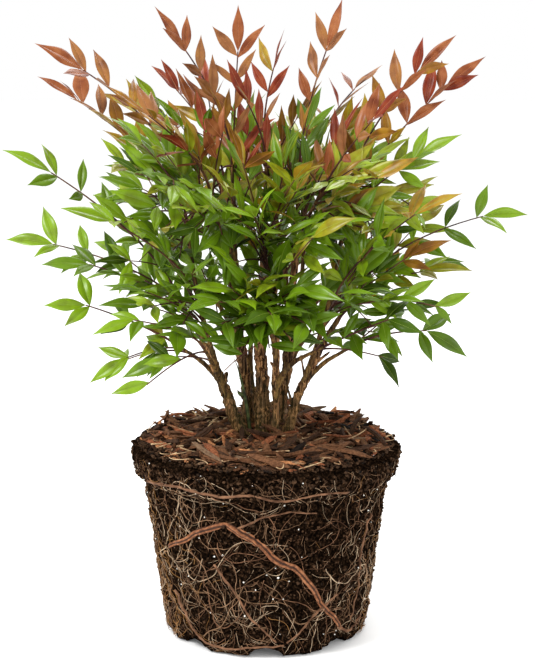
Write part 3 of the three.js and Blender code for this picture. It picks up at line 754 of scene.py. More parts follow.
def filling_rachises(foot, tip, index, rng):
    """Finer rachises between those of the source, which fill the mass's wedge evenly."""
    _, ring, _, _, reach, *_ = MASSES[index]
    upwards = unit(tip - foot)
    found = []
    fuller, further = THINNER[standing(index)]
    count = round(FILLING[ring] * fuller)
    for k in range(count):
        turn = math.radians(k * GOLDEN_ANGLE + FILLING_TURN + index * MASS_TURN)
        lean = math.radians(RINGS[ring]["fan"] * FILLING_LEAN * math.sqrt((k + 0.5) / count))
        distance = reach * rng.uniform(*FILLING_REACH[ring]) * further
        start = mix(foot, tip, rng.uniform(*FILLING_START))
        roll = math.radians(rng.uniform(-1, 1) * CHANCE["roll"])
        for pull in PULLS:
            chord = CROWN_CENTRE + fanned(index, turn, lean * pull) * distance - start
            bend = start + unit(upwards + unit(chord)) * np.linalg.norm(chord) * RACHIS["lift"]
            curve = Bezier(start, bend, start + chord)
            checks = curve.point(RACHIS_CHECKS)
            inside = in_wedge(index, checks, -RACHIS["margin"])
            if inside and clear_of_limbs(checks, LIMB_CLEARANCE):
                found.append((curve, roll))
                break
    return found


def nodes_on(curve, spacing):
    """Shares of a rachis at which its leaflets stand, from its end back."""
    places, back, step = [1.0], spacing, spacing
    while back < curve.length - NODES["bare"]:
        places.append(1 - back / curve.length)
        step *= 1 + NODES["widening"]
        back += step
    return places


def turned(vector, axis, angle):
    """A vector turned about an axis that is square to it."""
    return vector * math.cos(angle) + np.cross(axis, vector) * math.sin(angle)


# ---------------------------------------------------------------- foliage: leaflets


def skirt(points):
    """The lowest height of the foliage over each point."""
    aside = np.clip((np.abs(points[:, 0]) - SKIRT["from"]) / (SKIRT["to"] - SKIRT["from"]), 0, 1)
    return mix(SKIRT["middle"], SKIRT["side"], aside) - SKIRT["rise"] * np.minimum(points[:, 1], 0)


MOST_TAKEN = 6000  # places that leaflets take up, two each
FAR_OFF = 1e6


class Foliage:
    """Every leaflet, twig and stem of the crown."""

    FIELDS = ("root", "along", "face", "length", "width", "crease", "bow", "sweep", "ripple",
              "tint")

    def __init__(self):
        self.leaflets = {field: [] for field in self.FIELDS}
        self.taken = np.full((MOST_TAKEN, 3), FAR_OFF)
        self.used = 0
        self.twigs = Heap()
        self.stems = Heap()

    def fits(self, index, points):
        """Whether a leaflet through these points stays in its wedge and clear of the rest."""
        if not in_wedge(index, points, -LOOSENESS):
            return False
        if not clear_of_limbs(points, 2 * LIMB_CLEARANCE) or (points[:, 2] < skirt(points)).any():
            return False
        apart = np.linalg.norm(self.taken[:max(self.used, 1), None] - points[None, :2], axis=2)
        return apart.min() > ROOM

    def add(self, places, values):
        self.taken[self.used:self.used + len(places)] = places
        self.used += len(places)
        for field, value in zip(self.FIELDS, values):
            self.leaflets[field].append(value)


def leaflet_spine(u, bow):
    """Along, up and slope of a leaflet's midrib at shares u of a unit length. It rises a little
    from its root and then bows down, by the angle bow in all."""
    first = SPINE_RISE * bow
    bow = np.maximum(bow, 1e-4)
    slope = first - bow * u
    along = (np.sin(first) - np.sin(slope)) / bow
    up = (np.cos(slope) - np.cos(first)) / bow
    return along, up, slope


def leaflet_half_width(u):
    """Half of a leaflet's width at share u, for a width of 1: pointed at both ends."""
    skew = math.log(0.5) / math.log(LEAFLET_WIDEST)
    point = np.where(u < LEAFLET_WIDEST, POINTED["root"], POINTED["tip"])
    return 0.5 * np.sin(np.pi * np.clip(u, 0, 1) ** skew) ** point


def leaflet_points(leaves, u, v):
    """Points of many leaflets at shares u along and v across, v from -1 to 1, as an array with
    one grid for each leaflet."""
    length = leaves["length"][:, None]
    along, up, slope = leaflet_spine(u[None], leaves["bow"][:, None])
    side = np.cross(leaves["along"], leaves["face"])[:, None]
    way = leaves["along"][:, None]
    face = leaves["face"][:, None]
    spine = along[..., None] * way + up[..., None] * face
    spine = leaves["root"][:, None] + length[..., None] * spine
    spine = spine + (leaves["sweep"][:, None] * length * u[None] ** 2)[..., None] * side
    over = -np.sin(slope)[..., None] * way + np.cos(slope)[..., None] * face
    half = (leaflet_half_width(u)[None] * leaves["width"][:, None] * length)[..., None]
    crease = leaves["crease"][:, None, None]
    across = v * half * np.cos(crease)
    rise = np.abs(v) * half * np.sin(crease)
    curl = -CURL * v**4 * half
    phase = leaves["ripple"][:, None, None]
    wave = np.sin(u[None, :, None] * RIPPLE["pitch"] + phase + np.sign(v) * RIPPLE["lead"])
    ripple = RIPPLE["height"] * half * np.abs(v) * wave
    return (spine[:, :, None] + across[..., None] * side[:, :, None]
            + (rise + curl + ripple)[..., None] * over[:, :, None])


def leaflet_blades(leaves):
    """Both halves of many leaflets, each half a sheet of its own, so that the crease is sharp."""
    u = np.linspace(0.012, 0.992, LEAFLET_ROWS) ** 0.92  # closer together near the tip
    faces = grid_faces(LEAFLET_ROWS, LEAFLET_COLUMNS, False)
    heap = Heap()
    for hand in (-1, 1):
        grids = leaflet_points(leaves, u, evenly(LEAFLET_COLUMNS) * hand)
        heap.add_grids(grids, faces if hand < 0 else faces[:, ::-1])
    return heap


def leaflet_ribs(leaves):
    """The midribs: slim three-sided rods from the root nearly to the tip."""
    u = np.linspace(0, RIB_END, 9)
    centre = leaflet_points(leaves, u, np.zeros(1))[:, :, 0]
    side = np.cross(leaves["along"], leaves["face"])[:, None]
    face = leaves["face"][:, None]
    radius = (RIB_RADIUS * leaves["length"][:, None] * (1.1 - u[None]))[..., None]
    corners = [centre + radius * (math.sin(a) * side + math.cos(a) * face * RIB_HEIGHT)
               for a in np.radians([0, 120, 240])]
    heap = Heap()
    heap.add_grids(np.stack(corners, axis=2), grid_faces(len(u), 3, True))
    return heap


def dealt_tint(end, rng):
    """The tint of a spray's youngest leaflets. The higher it ends, the more likely it is young."""
    aside = min(abs(end[0]) / YOUTH_ASIDE, 1)
    lowest, highest, most = (mix(*pair, aside) for pair in zip(YOUTH["middle"], YOUTH["side"]))
    youth = most * np.clip((end[2] - lowest) / (highest - lowest), 0, 1)
    height = end[2] + YELLOW_LEFT * max(-end[0] - YELLOW_FROM, 0)
    height += YELLOW_RIGHT * max(end[0] - YELLOW_FROM, 0) * (end[2] > GROWN[-2][0])
    grown = next(dealt for floor, dealt in GROWN if height >= floor)
    dealt = YOUNG if rng.random() < youth else grown
    weights = np.array([dealt.get(name, 0) for name, _, _ in TINTS], float)
    tint = int(rng.choice(len(TINTS), p=weights / weights.sum()))
    if end[0] < FRESHER_FROM and tint >= TINT_INDEX["fresh_green"]:
        tint -= 1
    return tint


def stepped(tint, step):
    """The tint so many steps on, as a leaf ages."""
    return int(np.clip(round(tint + step), 0, len(TINTS) - 1))


def aged_and_shaded(tint, years, rng):
    """The tint of an older pair of the same spray, with a little chance. Greens step darker,
    partly with age and partly as painted shade inside the crown.
    """
    pace = AGEING["young" if tint < TINT_INDEX["olive"] else "grown"]
    return stepped(tint, years * pace + rng.normal(0, TINT_CHANCE["node"]))


def varied(tint, rng):
    """A leaflet's own tint, near to that of its pair but for the odd greener one."""
    if rng.random() < ODD_ONES:
        return stepped(tint, rng.uniform(*ODD_STEPS))
    return stepped(tint, rng.normal(0, TINT_CHANCE["leaflet"]))


def rachis_twig(curve, reached, leads):
    """The twig of a rachis, as far as it bears anything. leads: whether it carries on the stem."""
    radii = np.linspace(FINE["stem" if leads else "rachis"], FINE["tip"], 16)
    if not leads:
        radii[:3] *= TWIG_FLARE
    return tube(curve.point(np.linspace(0, max(reached, BARE_STUMP), 16)), radii, 6)


class Mass:
    """A mass of foliage as it grows from its limb, by its ring's habits and its own chance."""

    def __init__(self, foliage, limb):
        self.foliage, self.limb = foliage, limb
        self.name, self.ring = limb.mass[:2]
        self.index = MASSES.index(limb.mass)
        self.rng = np.random.default_rng(SEEDS["leaves"] + self.index)

    def chance(self, middle, kind):
        return self.rng.normal(middle, VARIED[kind])

    def drooped(self, way):
        return unit(way - UP * DROOP[self.ring] * self.rng.uniform(*DROOPS))

    def leaflet(self, root, along, face, length, tint):
        """Adds a leaflet where it fits, and says whether it did."""
        crease = math.radians(self.rng.uniform(*CREASE))
        bow = math.radians(self.rng.uniform(*BOW[self.ring]))
        sweep = self.chance(0, "sweep")
        width = WIDTH[self.ring] * self.chance(1, "width")
        length = length * RING_SIZE[self.ring]
        ripple = self.rng.uniform(0, 2 * np.pi)
        light = light_ways[self.index] * TURN_TO_LIGHT["leaflet"]
        face = square_to(along, face + light + self.rng.normal(0, FLUTTER, 3))
        spine = leaflet_spine(np.array(LEAFLET_CHECKS), bow)
        points = root + length * (spine[0][:, None] * along + spine[1][:, None] * face)
        if not self.foliage.fits(self.index, points):
            return False
        values = (root, along, face, length, width, crease, bow, sweep, ripple, tint)
        self.foliage.add(points[:2], values)
        return True

    def paired(self, root, along, outward, upper, length, tint):
        """One leaflet of a pair, at the first stance in which it fits."""
        length = length * self.chance(1, "pair")
        for more, share in STANCES:
            angle = math.radians(SPREAD[self.ring] + more + self.rng.normal(0, CHANCE["spread"]))
            way = self.drooped(along * math.cos(angle) + outward * math.sin(angle))
            face = square_to(way, upper)
            if self.leaflet(root, way, face, length * share, varied(tint, self.rng)):
                return True
        return False

    def side_spray(self, node, along, outward, upper, k, tint):
        """A side branch of a compound leaf, with three or five leaflets at its end."""
        s, rng = SIDE_SPRAY, self.rng
        reach = s["length"] * rng.uniform(*s["lengths"]) * (1 + s["growth"] * min(k, 3))
        angle = math.radians(s["spread"] + self.chance(0, "side_spread"))
        way = along * math.cos(angle) + outward * math.sin(angle)
        bend = node + way * reach * 0.5 + square_to(way, upper) * reach * rng.uniform(*s["lift"])
        curve = Bezier(node, bend, node + way * reach - UP * reach * rng.uniform(*s["sag"]))
        tangent = curve.tangent(1.0)
        face = square_to(tangent, upper)
        across = np.cross(tangent, face)
        length = LEAFLET["side_end"] * self.chance(1, "side_end")
        placed = self.leaflet(curve.point(1.0), tangent, face, length, varied(tint, rng))
        pairs = [(1.0, LEAFLET["side_pair"])]
        if reach > SECOND_PAIR["least_length"]:
            pairs.append((SECOND_PAIR["place"], LEAFLET["side_pair"] * SECOND_PAIR["size"]))
        for place, length in pairs:
            root = curve.point(place - PAIR_BACK)
            for hand in (-1, 1):
                placed |= self.paired(root, tangent, across * hand, face, length, tint)
        if placed:
            radii = np.linspace(s["radius"], s["end_radius"], 6)
            self.foliage.twigs.add(*tube(curve.point(evenly(6)), radii, 5))
        return placed

    def spray(self, curve, roll, singles, tint, pace):
        """One compound leaf: three leaflets at its end, then pairs and side sprays back along it.
        Says how far along its curve it bears anything."""
        bearing = []
        light = square_to(wedge_axes[self.index], UP)
        for k, t in enumerate(nodes_on(curve, SPACING[self.ring])):
            node, along = curve.point(t), curve.tangent(t)
            level = turned(level_side(along), along, roll)
            over = np.cross(along, level) + light_ways[self.index] * TURN_TO_LIGHT["spray"]
            over = square_to(along, over)
            level = np.cross(over, along)
            # further back along the rachis, deeper in the crown: older, and darker in part as
            # painted shade
            shade = aged_and_shaded(tint, pace * k, self.rng)
            placed = k == 0 and self.leaflet(node, self.drooped(along), over,
                                             LEAFLET["end"] * self.chance(1, "end"), shade)
            for hand in (-1, 1):
                fold = math.radians(FOLD[self.ring] + self.chance(0, "fold"))
                outward = level * hand * math.cos(fold) + over * math.sin(fold)
                upper = over * math.cos(fold) - level * hand * math.sin(fold)
                if k <= singles:
                    root = node - along * self.rng.uniform(*(SINGLE_BEHIND if k else PAIR_BEHIND))
                    length = LEAFLET["single" if k else "pair"]
                    placed |= self.paired(root, along, outward, upper, length, shade)
                else:
                    upper = mix(upper, light, SIDE_SPRAY["turn_up"])
                    placed |= self.side_spray(node, along, outward, upper, k, shade)
            if placed:
                bearing.append(t)
        return max(bearing, default=0.0)

    def stem(self, foot, tip):
        """The stem in its bark, from just inside the limb."""
        line = mix(foot, tip, np.linspace(-0.04, 1.0, 26)[:, None])
        radii = np.linspace(self.limb.radius_at(self.limb.entry), FINE["stem"], 26)
        length, seed = np.linalg.norm(tip - foot), SEEDS["stems"] + self.index
        return tube(line, radii, 9, bark_relief(9, radii, length, seed, 0.04))

    def grow(self):
        limb = self.limb
        foot, tip = limb.curve.point(limb.entry), stem_end(limb.mass)
        growth = rachises(foot + limb.curve.tangent(limb.entry) * GAP, tip, self.index)
        own = len(growth)
        growth += filling_rachises(foot, tip, self.index, self.rng)
        for k, (curve, roll) in enumerate(growth):
            fixed = SPRAY_TINTS.get(self.name, {}).get(k)
            tint = TINT_INDEX[fixed] if fixed else dealt_tint(curve.end, self.rng)
            singles = SINGLES[self.ring] if k < own else FILLING_SINGLES
            reached = self.spray(curve, roll, singles, tint, PACE["fixed" if fixed else "dealt"])
            if reached or k == 0:
                self.foliage.twigs.add(*rachis_twig(curve, reached, k == 0))
        self.foliage.stems.add(*self.stem(foot, tip))


young_bark = bark_look("bough bark", (146, 124, 82), (100, 80, 54), (54, 36, 30), (92, 92, 50))


def leaf_look(k):
    """A glossy leaf. In soft patches it is darker, or nearer to the tint that comes before or
    after it."""
    name, colour, _ = TINTS[k]
    glossy = TINT_INDEX["amber"] <= k <= TINT_INDEX["leaf_green"]
    look, tree, shader = new_look(f"leaf {name}", colour, 0.3, 0.25 if glossy else 0.13)
    patches = noise_node(tree, mapping_node(tree), 62, 2, 0.5)
    before = TINTS[max(k - 1, 0)][1]
    after = TINTS[min(k + 1, len(TINTS) - 1)][1]
    dark = tuple(0.4 * c + 0.4 * d for c, d in zip(before, colour))
    light = tuple(min(255, 0.55 * c + 0.55 * d + 6) for c, d in zip(colour, after))
    tree.links.new(ramp_node(tree, patches, [(0.3, dark), (0.48, colour), (0.7, light)]),
                   shader.inputs["Base Color"])
    return look


# The foliage solids that the leaves of a tint stand for, by the start of their names.
STANDS_FOR = {"copper": "foliage_top", "olive": "foliage_upper", "fresh_green": "foliage_middle",
              "deep_green": "foliage_low"}
# name, first tint and the one after the last, colour, slot
RIBS = [
    ("ribs_copper", 0, TINT_INDEX["amber"], (176, 108, 66), "leaf_copper"),
    ("ribs_green", TINT_INDEX["amber"], len(TINTS), (134, 154, 54), "leaf_green"),
]
TWIG_STOPS = [(0.35, (44, 26, 28)), (0.52, (78, 44, 38)), (0.7, (104, 74, 46))]


def make_foliage():
    foliage = Foliage()
    for limb in limbs:
        Mass(foliage, limb).grow()
    leaves = {field: np.array(values) for field, values in foliage.leaflets.items()}

    def tinted(first, after):
        chosen = (leaves["tint"] >= first) & (leaves["tint"] < after)
        return {field: values[chosen] for field, values in leaves.items()}

    for k, (name, _, slot) in enumerate(TINTS):
        start = STANDS_FOR.get(name)
        nodes = [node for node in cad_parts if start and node.startswith(start)]
        leaflet_blades(tinted(k, k + 1)).made(f"leaves_{name}", leaf_look(k), slot, nodes)
    for name, first, after, colour, slot in RIBS:
        look, _, _ = new_look(name, colour, 0.5)
        leaflet_ribs(tinted(first, after)).made(name, look, slot)
    foliage.twigs.made("twigs", mottled("twig", TWIG_STOPS, 60, 0.55, (1, 1, 0.4)), "bark")
    foliage.stems.made("stems", young_bark, "bark")


# ---------------------------------------------------------------- canes and boughs in bark

NODE_SPACING = (9.0, 20.0)  # between the rings that old leaves left on a cane
FIRST_NODE = (4.0, 12.0)  # from its foot to the first of them
BARK_STEP = 1.8  # between the rings of points of the bark
# Sides, relief, and how far a limb strays from its line.
BARK = {"canes": (26, 0.1, 1.5), "boughs": (12, 0.05, 0.0)}
BARK_PAST = 0.004  # share of a limb by which its bark goes on into the mass's stem
# The bark's ridges and roughness: sizes across the limb, how much shorter they count along it,
# and shares of the relief.
RIDGES = {"size": 4.2, "along": 0.16, "level": 0.8, "share": 0.9}
ROUGHNESS = {"size": 3.4, "along": 4.0, "share": 0.35}
# A ring that an old leaf left: how far it slants, how it stands out all round and at its knob,
# and the groove beyond it.
OLD_RING = {"slant": 1.6, "height": 0.1, "knob": 0.16, "width": 1.5}
OLD_GROOVE = {"depth": 0.09, "beyond": 3.2, "width": 1.3}


def bark_relief(sides, radii, length, seed, depth):
    """Shares by which the bark stands out at each ring and side: ridges that run along the
    limb, a fine roughness, and the rings of old leaves."""
    rng = np.random.default_rng(seed)
    turn = full_turn(sides)
    s = np.linspace(0, length, len(radii))
    flat = np.stack([
        np.cos(turn)[None] * radii[:, None],
        np.sin(turn)[None] * radii[:, None],
        np.repeat(s[:, None] * RIDGES["along"], sides, 1),
    ], -1)
    ridges = np.abs(waves(flat, RIDGES["size"], seed)) - RIDGES["level"]
    rough = waves(flat * np.array([1, 1, ROUGHNESS["along"]]), ROUGHNESS["size"], seed + 1)
    relief = depth * (ridges * RIDGES["share"] + rough * ROUGHNESS["share"])
    place = rng.uniform(*FIRST_NODE)
    while place < length:
        phase = rng.uniform(0, 2 * np.pi)
        ring = place + OLD_RING["slant"] * np.sin(turn + phase)
        off = s[:, None] - ring[None]
        knob = np.maximum(0, np.cos(turn - phase * 2.7)) ** 2
        height = OLD_RING["height"] + OLD_RING["knob"] * knob
        relief += height * np.exp(-((off / OLD_RING["width"]) ** 2))
        beyond = (off - OLD_GROOVE["beyond"]) / OLD_GROOVE["width"]
        relief -= OLD_GROOVE["depth"] * np.exp(-(beyond**2))
        place += rng.uniform(*NODE_SPACING)
    return relief


def bark_tube(heap, kind, k, limb, start):
    """A limb in bark, from a share of its curve to a little past the bare part."""
    sides, depth, wander = BARK[kind]
    seed = SEEDS[kind] + k
    end = limb.entry + BARK_PAST
    length = (end - start) * limb.curve.length
    places = np.linspace(start, end, max(8, int(length / BARK_STEP)))
    line = limb.curve.point(places)
    points = line.copy()
    radii = np.array([limb.radius_at(t) for t in places])
    fade = np.sin(np.linspace(0, np.pi, len(places))) ** 1.3
    for axis in range(2):
        strayed = waves(line, 60, seed + 50 + axis) + 0.4 * waves(line, 24, seed + 60 + axis)
        points[:, axis] += wander * fade * strayed
    heap.add(*tube(points, radii, sides, bark_relief(sides, radii, length, seed, depth)))


# Stubs laid by chance: how many on thick and slim canes, and the ranges of their place on the
# bare part of the cane, length and radius.
CHANCE_STUBS = {
    "thick": 7, "slim": 4, "place": (0.16, 0.92), "length": (3.5, 10), "radius": (0.9, 1.7),
}
THICK_CANE = 4.0  # radius from which a cane counts as thick
STUB_RADII = np.array([1.5, 1.15, 1.0, 0.9, 0.85, 0.75, 0.4])  # shares, from its root to its end
# Stubs that show: height, azimuth, length and radius.
STUBS = {
    "cane_left": [(262, 10, 9, 2.4), (282, 60, 13, 1.8), (248, 200, 5, 1.6)],
    "cane_inner_left": [(300, 200, 8, 1.7), (262, 330, 6, 1.6)],
    "cane_inner_right": [(276, 350, 11, 2.0), (300, 340, 10, 1.7)],
    "cane_right": [(238, 175, 15, 1.6), (284, 20, 17, 1.7), (268, 160, 20, 1.2)],
    "cane_centre": [(284, 200, 8, 1.7), (252, 320, 6, 1.9)],
}


def stub(heap, limb, t, azimuth, length, radius, seed):
    """The dry base of an old leaf: it leaves the limb at a slant and ends ragged."""
    along = limb.curve.tangent(t)
    out = square_to(along, direction(azimuth, 0))
    root = limb.curve.point(t) + out * limb.radius_at(t) * 0.6
    way = unit(out * 0.75 + along)
    tip = root + way * length + UP * length * 0.12
    line = curved(root, root + way * length * 0.5, tip, len(STUB_RADII))
    relief = 0.12 * waves(np.repeat(line[:, None], 8, 1) + np.arange(8)[None, :, None], 3, seed)
    heap.add(*tube(line, radius * STUB_RADII, 8, relief))


def make_shoot():
    """The young green shoot between the two left canes, with its bud and a dry thread above."""
    heap = Heap()
    rings, node_ring = 24, 15
    line = curved((-16, -4, GROUND - 3), (-19, -5, 238), (-27, -6, 270), rings)
    swelling = 0.45 * np.exp(-(((np.arange(rings) - node_ring) / 1.2) ** 2))
    heap.add(*tube(line, np.linspace(2.1, 1.1, rings) + swelling, 10))
    node, top = line[node_ring], line[-1]
    bud = curved(node, node + (-4, 0, 1), node + (-7.5, 0, 3.5), 9)
    heap.add(*tube(bud, [1.0, 1.3, 1.9, 2.3, 2.3, 2.0, 1.5, 0.9, 0.3], 10))
    thread = curved(top, top + (-2, 0, 9), top + (-6, 0, 17), 8)
    heap.add(*tube(thread, np.linspace(0.9, 0.3, 8), 6))
    look = mottled("shoot", [(0.35, (44, 48, 30)), (0.6, (86, 96, 56))], 130, 0.6)
    heap.made("young_shoot", look, "bark")


def make_limbs():
    # The cane bark's near-black (14, 9, 6) is partly painted shade in its fissures.
    bark = bark_look("cane bark", (194, 161, 123), (82, 58, 38), (14, 9, 6), (74, 74, 36))
    rng = np.random.default_rng(SEEDS["stubs"])
    for k, cane in enumerate(canes):
        heap = Heap()
        bark_tube(heap, "canes", k, cane, -0.015)
        for j in range(CHANCE_STUBS["thick" if cane.radius_at(0.3) > THICK_CANE else "slim"]):
            t = cane.entry * rng.uniform(*CHANCE_STUBS["place"])
            azimuth = rng.uniform(0, 360)
            length = rng.uniform(*CHANCE_STUBS["length"])
            radius = rng.uniform(*CHANCE_STUBS["radius"])
            stub(heap, cane, t, azimuth, length, radius, 40 * k + j)
        heights = cane.curve.point(evenly(50))[:, 2]
        for height, azimuth, length, radius in STUBS.get(cane.name, ()):
            t = float(np.interp(height, heights, evenly(50)))
            stub(heap, cane, t, azimuth, length, radius, int(height))
        heap.made(f"bark_{cane.name}", bark, "bark", [cane.name])
    heap = Heap()
    for k, bough in enumerate(boughs):
        bark_tube(heap, "boughs", k, bough, 0.0)
    heap.made("bark_boughs", young_bark, "bark", [bough.name for bough in boughs])


# ---------------------------------------------------------------- root ball

BALL_COLUMNS = 320
# The rim is more ragged: how far below and inside it, by how much, and the size of its lumps.
RAGGED_RIM = {"reach": 9.0, "lift": 1.1, "size": 24.0}
NOTCH_REACH = 40.0  # the notches raise only points that are lower than this
SOIL_STOPS = [(0.4, (5, 3, 2)), (0.51, (25, 17, 11)), (0.61, (60, 42, 29)), (0.71, (122, 90, 64))]
CLOD_STOPS = [(0.35, (38, 30, 24)), (0.65, (116, 88, 60))]


def ball_radius(height):
    """Radius of the ball's wall at a height, with the rim band."""
    wall = mix(BALL["foot_radius"], BALL["step_radius"], height / BALL["step_height"])
    flare = np.clip((height - BALL["step_height"]) / BALL["rim_flare"], 0, 1)
    band = BALL["rim_radius"] - BALL["step_radius"]
    return wall + band * flare * (height > BALL["step_height"])


def top_height(radius):
    """Height of the soil under the mulch, at a distance from the middle."""
    edge = BALL["rim_radius"] - BALL["rim_bevel"]
    places = [0, BALL["ground_radius"], BALL["mulch_radius"], edge]
    return np.interp(radius, places, [GROUND, GROUND, BALL["mulch_height"], BALL["rim_height"]])


def notch_arch(x, y):
    """Height of the notch above a place near the foot, or 0 where there is none."""
    angle = np.arctan2(y, x)
    pitch = 2 * np.pi / NOTCH["count"]
    off = np.abs((angle + np.pi / 2 + pitch / 2) % pitch - pitch / 2)
    radius = np.hypot(x, y)
    beside = off * radius / (NOTCH["width"] / 2)
    inside = radius > BALL["foot_radius"] - NOTCH["depth"]
    arch = NOTCH["height"] * np.sqrt(np.maximum(0, 1 - beside**2))
    return np.where(inside & (beside < 1), arch, 0.0)


def on_top(radius, angle, lift):
    """A point over the ball's top, lift above the soil."""
    height = float(top_height(radius)) + lift
    return np.array([radius * math.cos(angle), radius * math.sin(angle), height])


def soil_lift(points):
    """How far the soil stands out at points on the ball: lumps and crumbs."""
    return 0.75 * waves(points, 15, SEEDS["soil"]) + 0.5 * waves(points, 6, SEEDS["soil"] + 1)


def on_ball(angle, height, lift):
    """Points on the wall of the ball, angle in radians, lift out of the soil in millimetres."""
    out = radial(angle)
    base = out * ball_radius(height)[..., None] + UP * height[..., None]
    return base + out * (soil_lift(base) + lift)[..., None]


def ball_profile():
    """The ball's outline as radius and height, from the middle of its foot to that of its top."""
    b = BALL
    rounding = np.linspace(0, np.pi / 2, 5)[1:]
    foot_radii = b["foot_radius"] - b["foot_rounding"] * (1 - np.sin(rounding))
    foot_heights = b["foot_rounding"] * (1 - np.cos(rounding))
    wall = np.arange(b["foot_rounding"] + 2.5, b["step_height"], 2.5)
    band = np.linspace(b["step_height"] + 1.5, b["rim_height"] - b["rim_bevel"], 13)
    profile = [(r, 0.0) for r in np.linspace(0, b["foot_radius"] - b["foot_rounding"], 14)]
    profile += list(zip(foot_radii, foot_heights))
    profile += [(ball_radius(z), z) for z in (*wall, *band)]
    profile += [(b["rim_radius"] - 1.2, b["rim_height"] - 1.2)]
    profile += [(r, top_height(r)) for r in np.linspace(b["rim_radius"] - b["rim_bevel"], 0.5, 46)]
    return np.array(profile, float)


def soil_points():
    """The outline turned round, with lumps and crumbs, a ragged rim and the notches in its foot."""
    profile = ball_profile()
    radius, height = profile.T
    out = radial(full_turn(BALL_COLUMNS))
    grid = out[None] * radius[:, None, None] + UP * height[:, None, None]
    slope = np.gradient(profile, axis=0)
    normal = unit(np.stack([slope[:, 1], -slope[:, 0]], -1))
    lift = soil_lift(grid) * np.where(height > 1, 1.0, 0.0)[:, None]
    ragged = np.exp(-(((height - BALL["rim_height"]) / RAGGED_RIM["reach"]) ** 2))[:, None]
    lift = lift + ragged * RAGGED_RIM["lift"] * waves(grid, RAGGED_RIM["size"], SEEDS["soil"] + 2)
    grid = grid + (out[None] * normal[:, None, 0:1] + UP * normal[:, None, 1:2]) * lift[..., None]
    arch = notch_arch(grid[..., 0], grid[..., 1])
    low = grid[..., 2] < NOTCH_REACH
    grid[..., 2] = np.maximum(np.maximum(grid[..., 2], np.where(low, arch, 0)), 0.0)
    return grid


def soil_look():
    look, tree, shader = new_look("soil", (40, 30, 23), 0.95, 0.0)
    place = mapping_node(tree)
    grain = noise_node(tree, place, 330, 6, 0.75)
    clods = noise_node(tree, place, 70, 4)
    fine = ramp_node(tree, grain, SOIL_STOPS)
    lumpy = mix_node(tree, 0.5, fine, ramp_node(tree, clods, CLOD_STOPS), "MULTIPLY")
    tree.links.new(mix_node(tree, 0.45, fine, lumpy), shader.inputs["Base Color"])
    add_bump(tree, shader, grain, 3.0)
    return look


def make_soil():
    grid = soil_points()
    soil = Heap()
    soil.add(grid, closed_faces(*grid.shape[:2]))
    soil.made("root_ball_soil", soil_look(), "soil", ["root_ball"])


# ---------------------------------------------------------------- roots

ROOT_STEP = 2.8
ROOT_LIFT = 0.3  # out of the soil
ROOT_MARGIN = 3.0  # to the top of the rim, to the foot and to the notches
# Roots laid by chance, in this order, with the number at which each kind ends. The thick and the
# fine ones start anywhere, the branches on an earlier root, and the bits are short.
ROOTS_UNTIL = {"thick": 151, "fine": 880, "branch": 1501, "bit": 2100}
# A third of the mean length, the radii, how much they wander and their sides.
ROOT_KINDS = {"thick": (34, (0.33, 0.6), 0.09, 5), "fine": (15, (0.17, 0.33), 0.12, 4)}
# Where the front is barer, and how far from there. Then the shares of roots that are left out.
BARE_PATCH = {"azimuth": -76, "height": 120, "aside": 20, "above": 30}
LEFT_OUT = {"bare": 0.75, "side": 0.0, "elsewhere": 0.18}
BALL_SIDES = {"left": -0.7, "right": 0.9}  # they start past these shares of the ball's radius
ROOT_STOPS = {
    "cream": [(0.35, (138, 114, 90)), (0.65, (200, 176, 146))],
    "tan": [(0.35, (98, 72, 52)), (0.65, (154, 120, 90))],
    "gold": [(0.35, (110, 74, 38)), (0.65, (166, 120, 68))],
    "brown": [(0.35, (76, 50, 34)), (0.65, (136, 98, 72))],
}
# The shares of those four at the ball's sides, which are more golden, and elsewhere.
ROOT_SHARES = {"side": (0.2, 0.42, 0.28, 0.1), "elsewhere": (0.26, 0.44, 0.03, 0.27)}
# Thin brown roots that stand out: radius, and places as in BIG_ROOTS.
THIN_ROOTS = [
    (1.5, [(-152, 173), (-128, 179), (-108, 174), (-97, 179), (-84, 171), (-67, 177), (-52, 174)]),
    (1.3, [(-116, 100), (-108, 78), (-99, 47), (-84, 17)]),
    (1.4, [(-50, 62), (-61, 50), (-70, 30), (-79, 16)]),
    (1.5, [(-146, 60), (-136, 30), (-128, 12), (-114, 7), (-99, 12), (-79, 14)]),
    (1.1, [(-104, 139), (-92, 152), (-80, 158), (-66, 154)]),
    (1.2, [(-30, 140), (-36, 96), (-33, 60), (-38, 26)]),
    (1.2, [(150, 150), (162, 96), (158, 52), (170, 18)]),
    (1.4, [(20, 176), (44, 172), (70, 178), (101, 173), (126, 177)]),
    (1.9, [(-47, 24), (-39, 15), (-31, 17), (-24, 26)]),
]


def anywhere(rng, mean_length):
    """Angle, height, heading and length of a root that starts anywhere on the wall."""
    angle = rng.normal(np.pi, 0.5) if rng.random() < 0.15 else rng.uniform(-np.pi, np.pi)
    height = mix(6, BALL["step_height"] - 4, rng.beta(1.1, 1.6))
    if rng.random() >= 0.86:
        height = rng.uniform(BALL["step_height"], BALL["rim_height"] - 6)
    heading = rng.choice([rng.normal(-np.pi / 2, 0.6), rng.uniform(0, 2 * np.pi)], p=[0.6, 0.4])
    return angle, height, heading, rng.gamma(3, mean_length)


def short_bit(rng):
    """The same of a short bit, which lies above the foot."""
    angle = rng.uniform(-np.pi, np.pi)
    height = rng.uniform(70, BALL["rim_height"] - 5)
    return angle, height, rng.uniform(0, 2 * np.pi), rng.uniform(6, 12)


def branch_of(rng, walk):
    """The same of a branch that leaves an earlier root at a slant."""
    at = rng.integers(1, len(walk) - 1)
    angle, height = walk[at]
    ahead = np.subtract(walk[at + 1], walk[at]) * (ball_radius(height), 1)
    heading = math.atan2(ahead[1], ahead[0]) + rng.choice([-1, 1]) * rng.uniform(0.4, 1.0)
    return angle, height, heading, rng.gamma(3, 9)


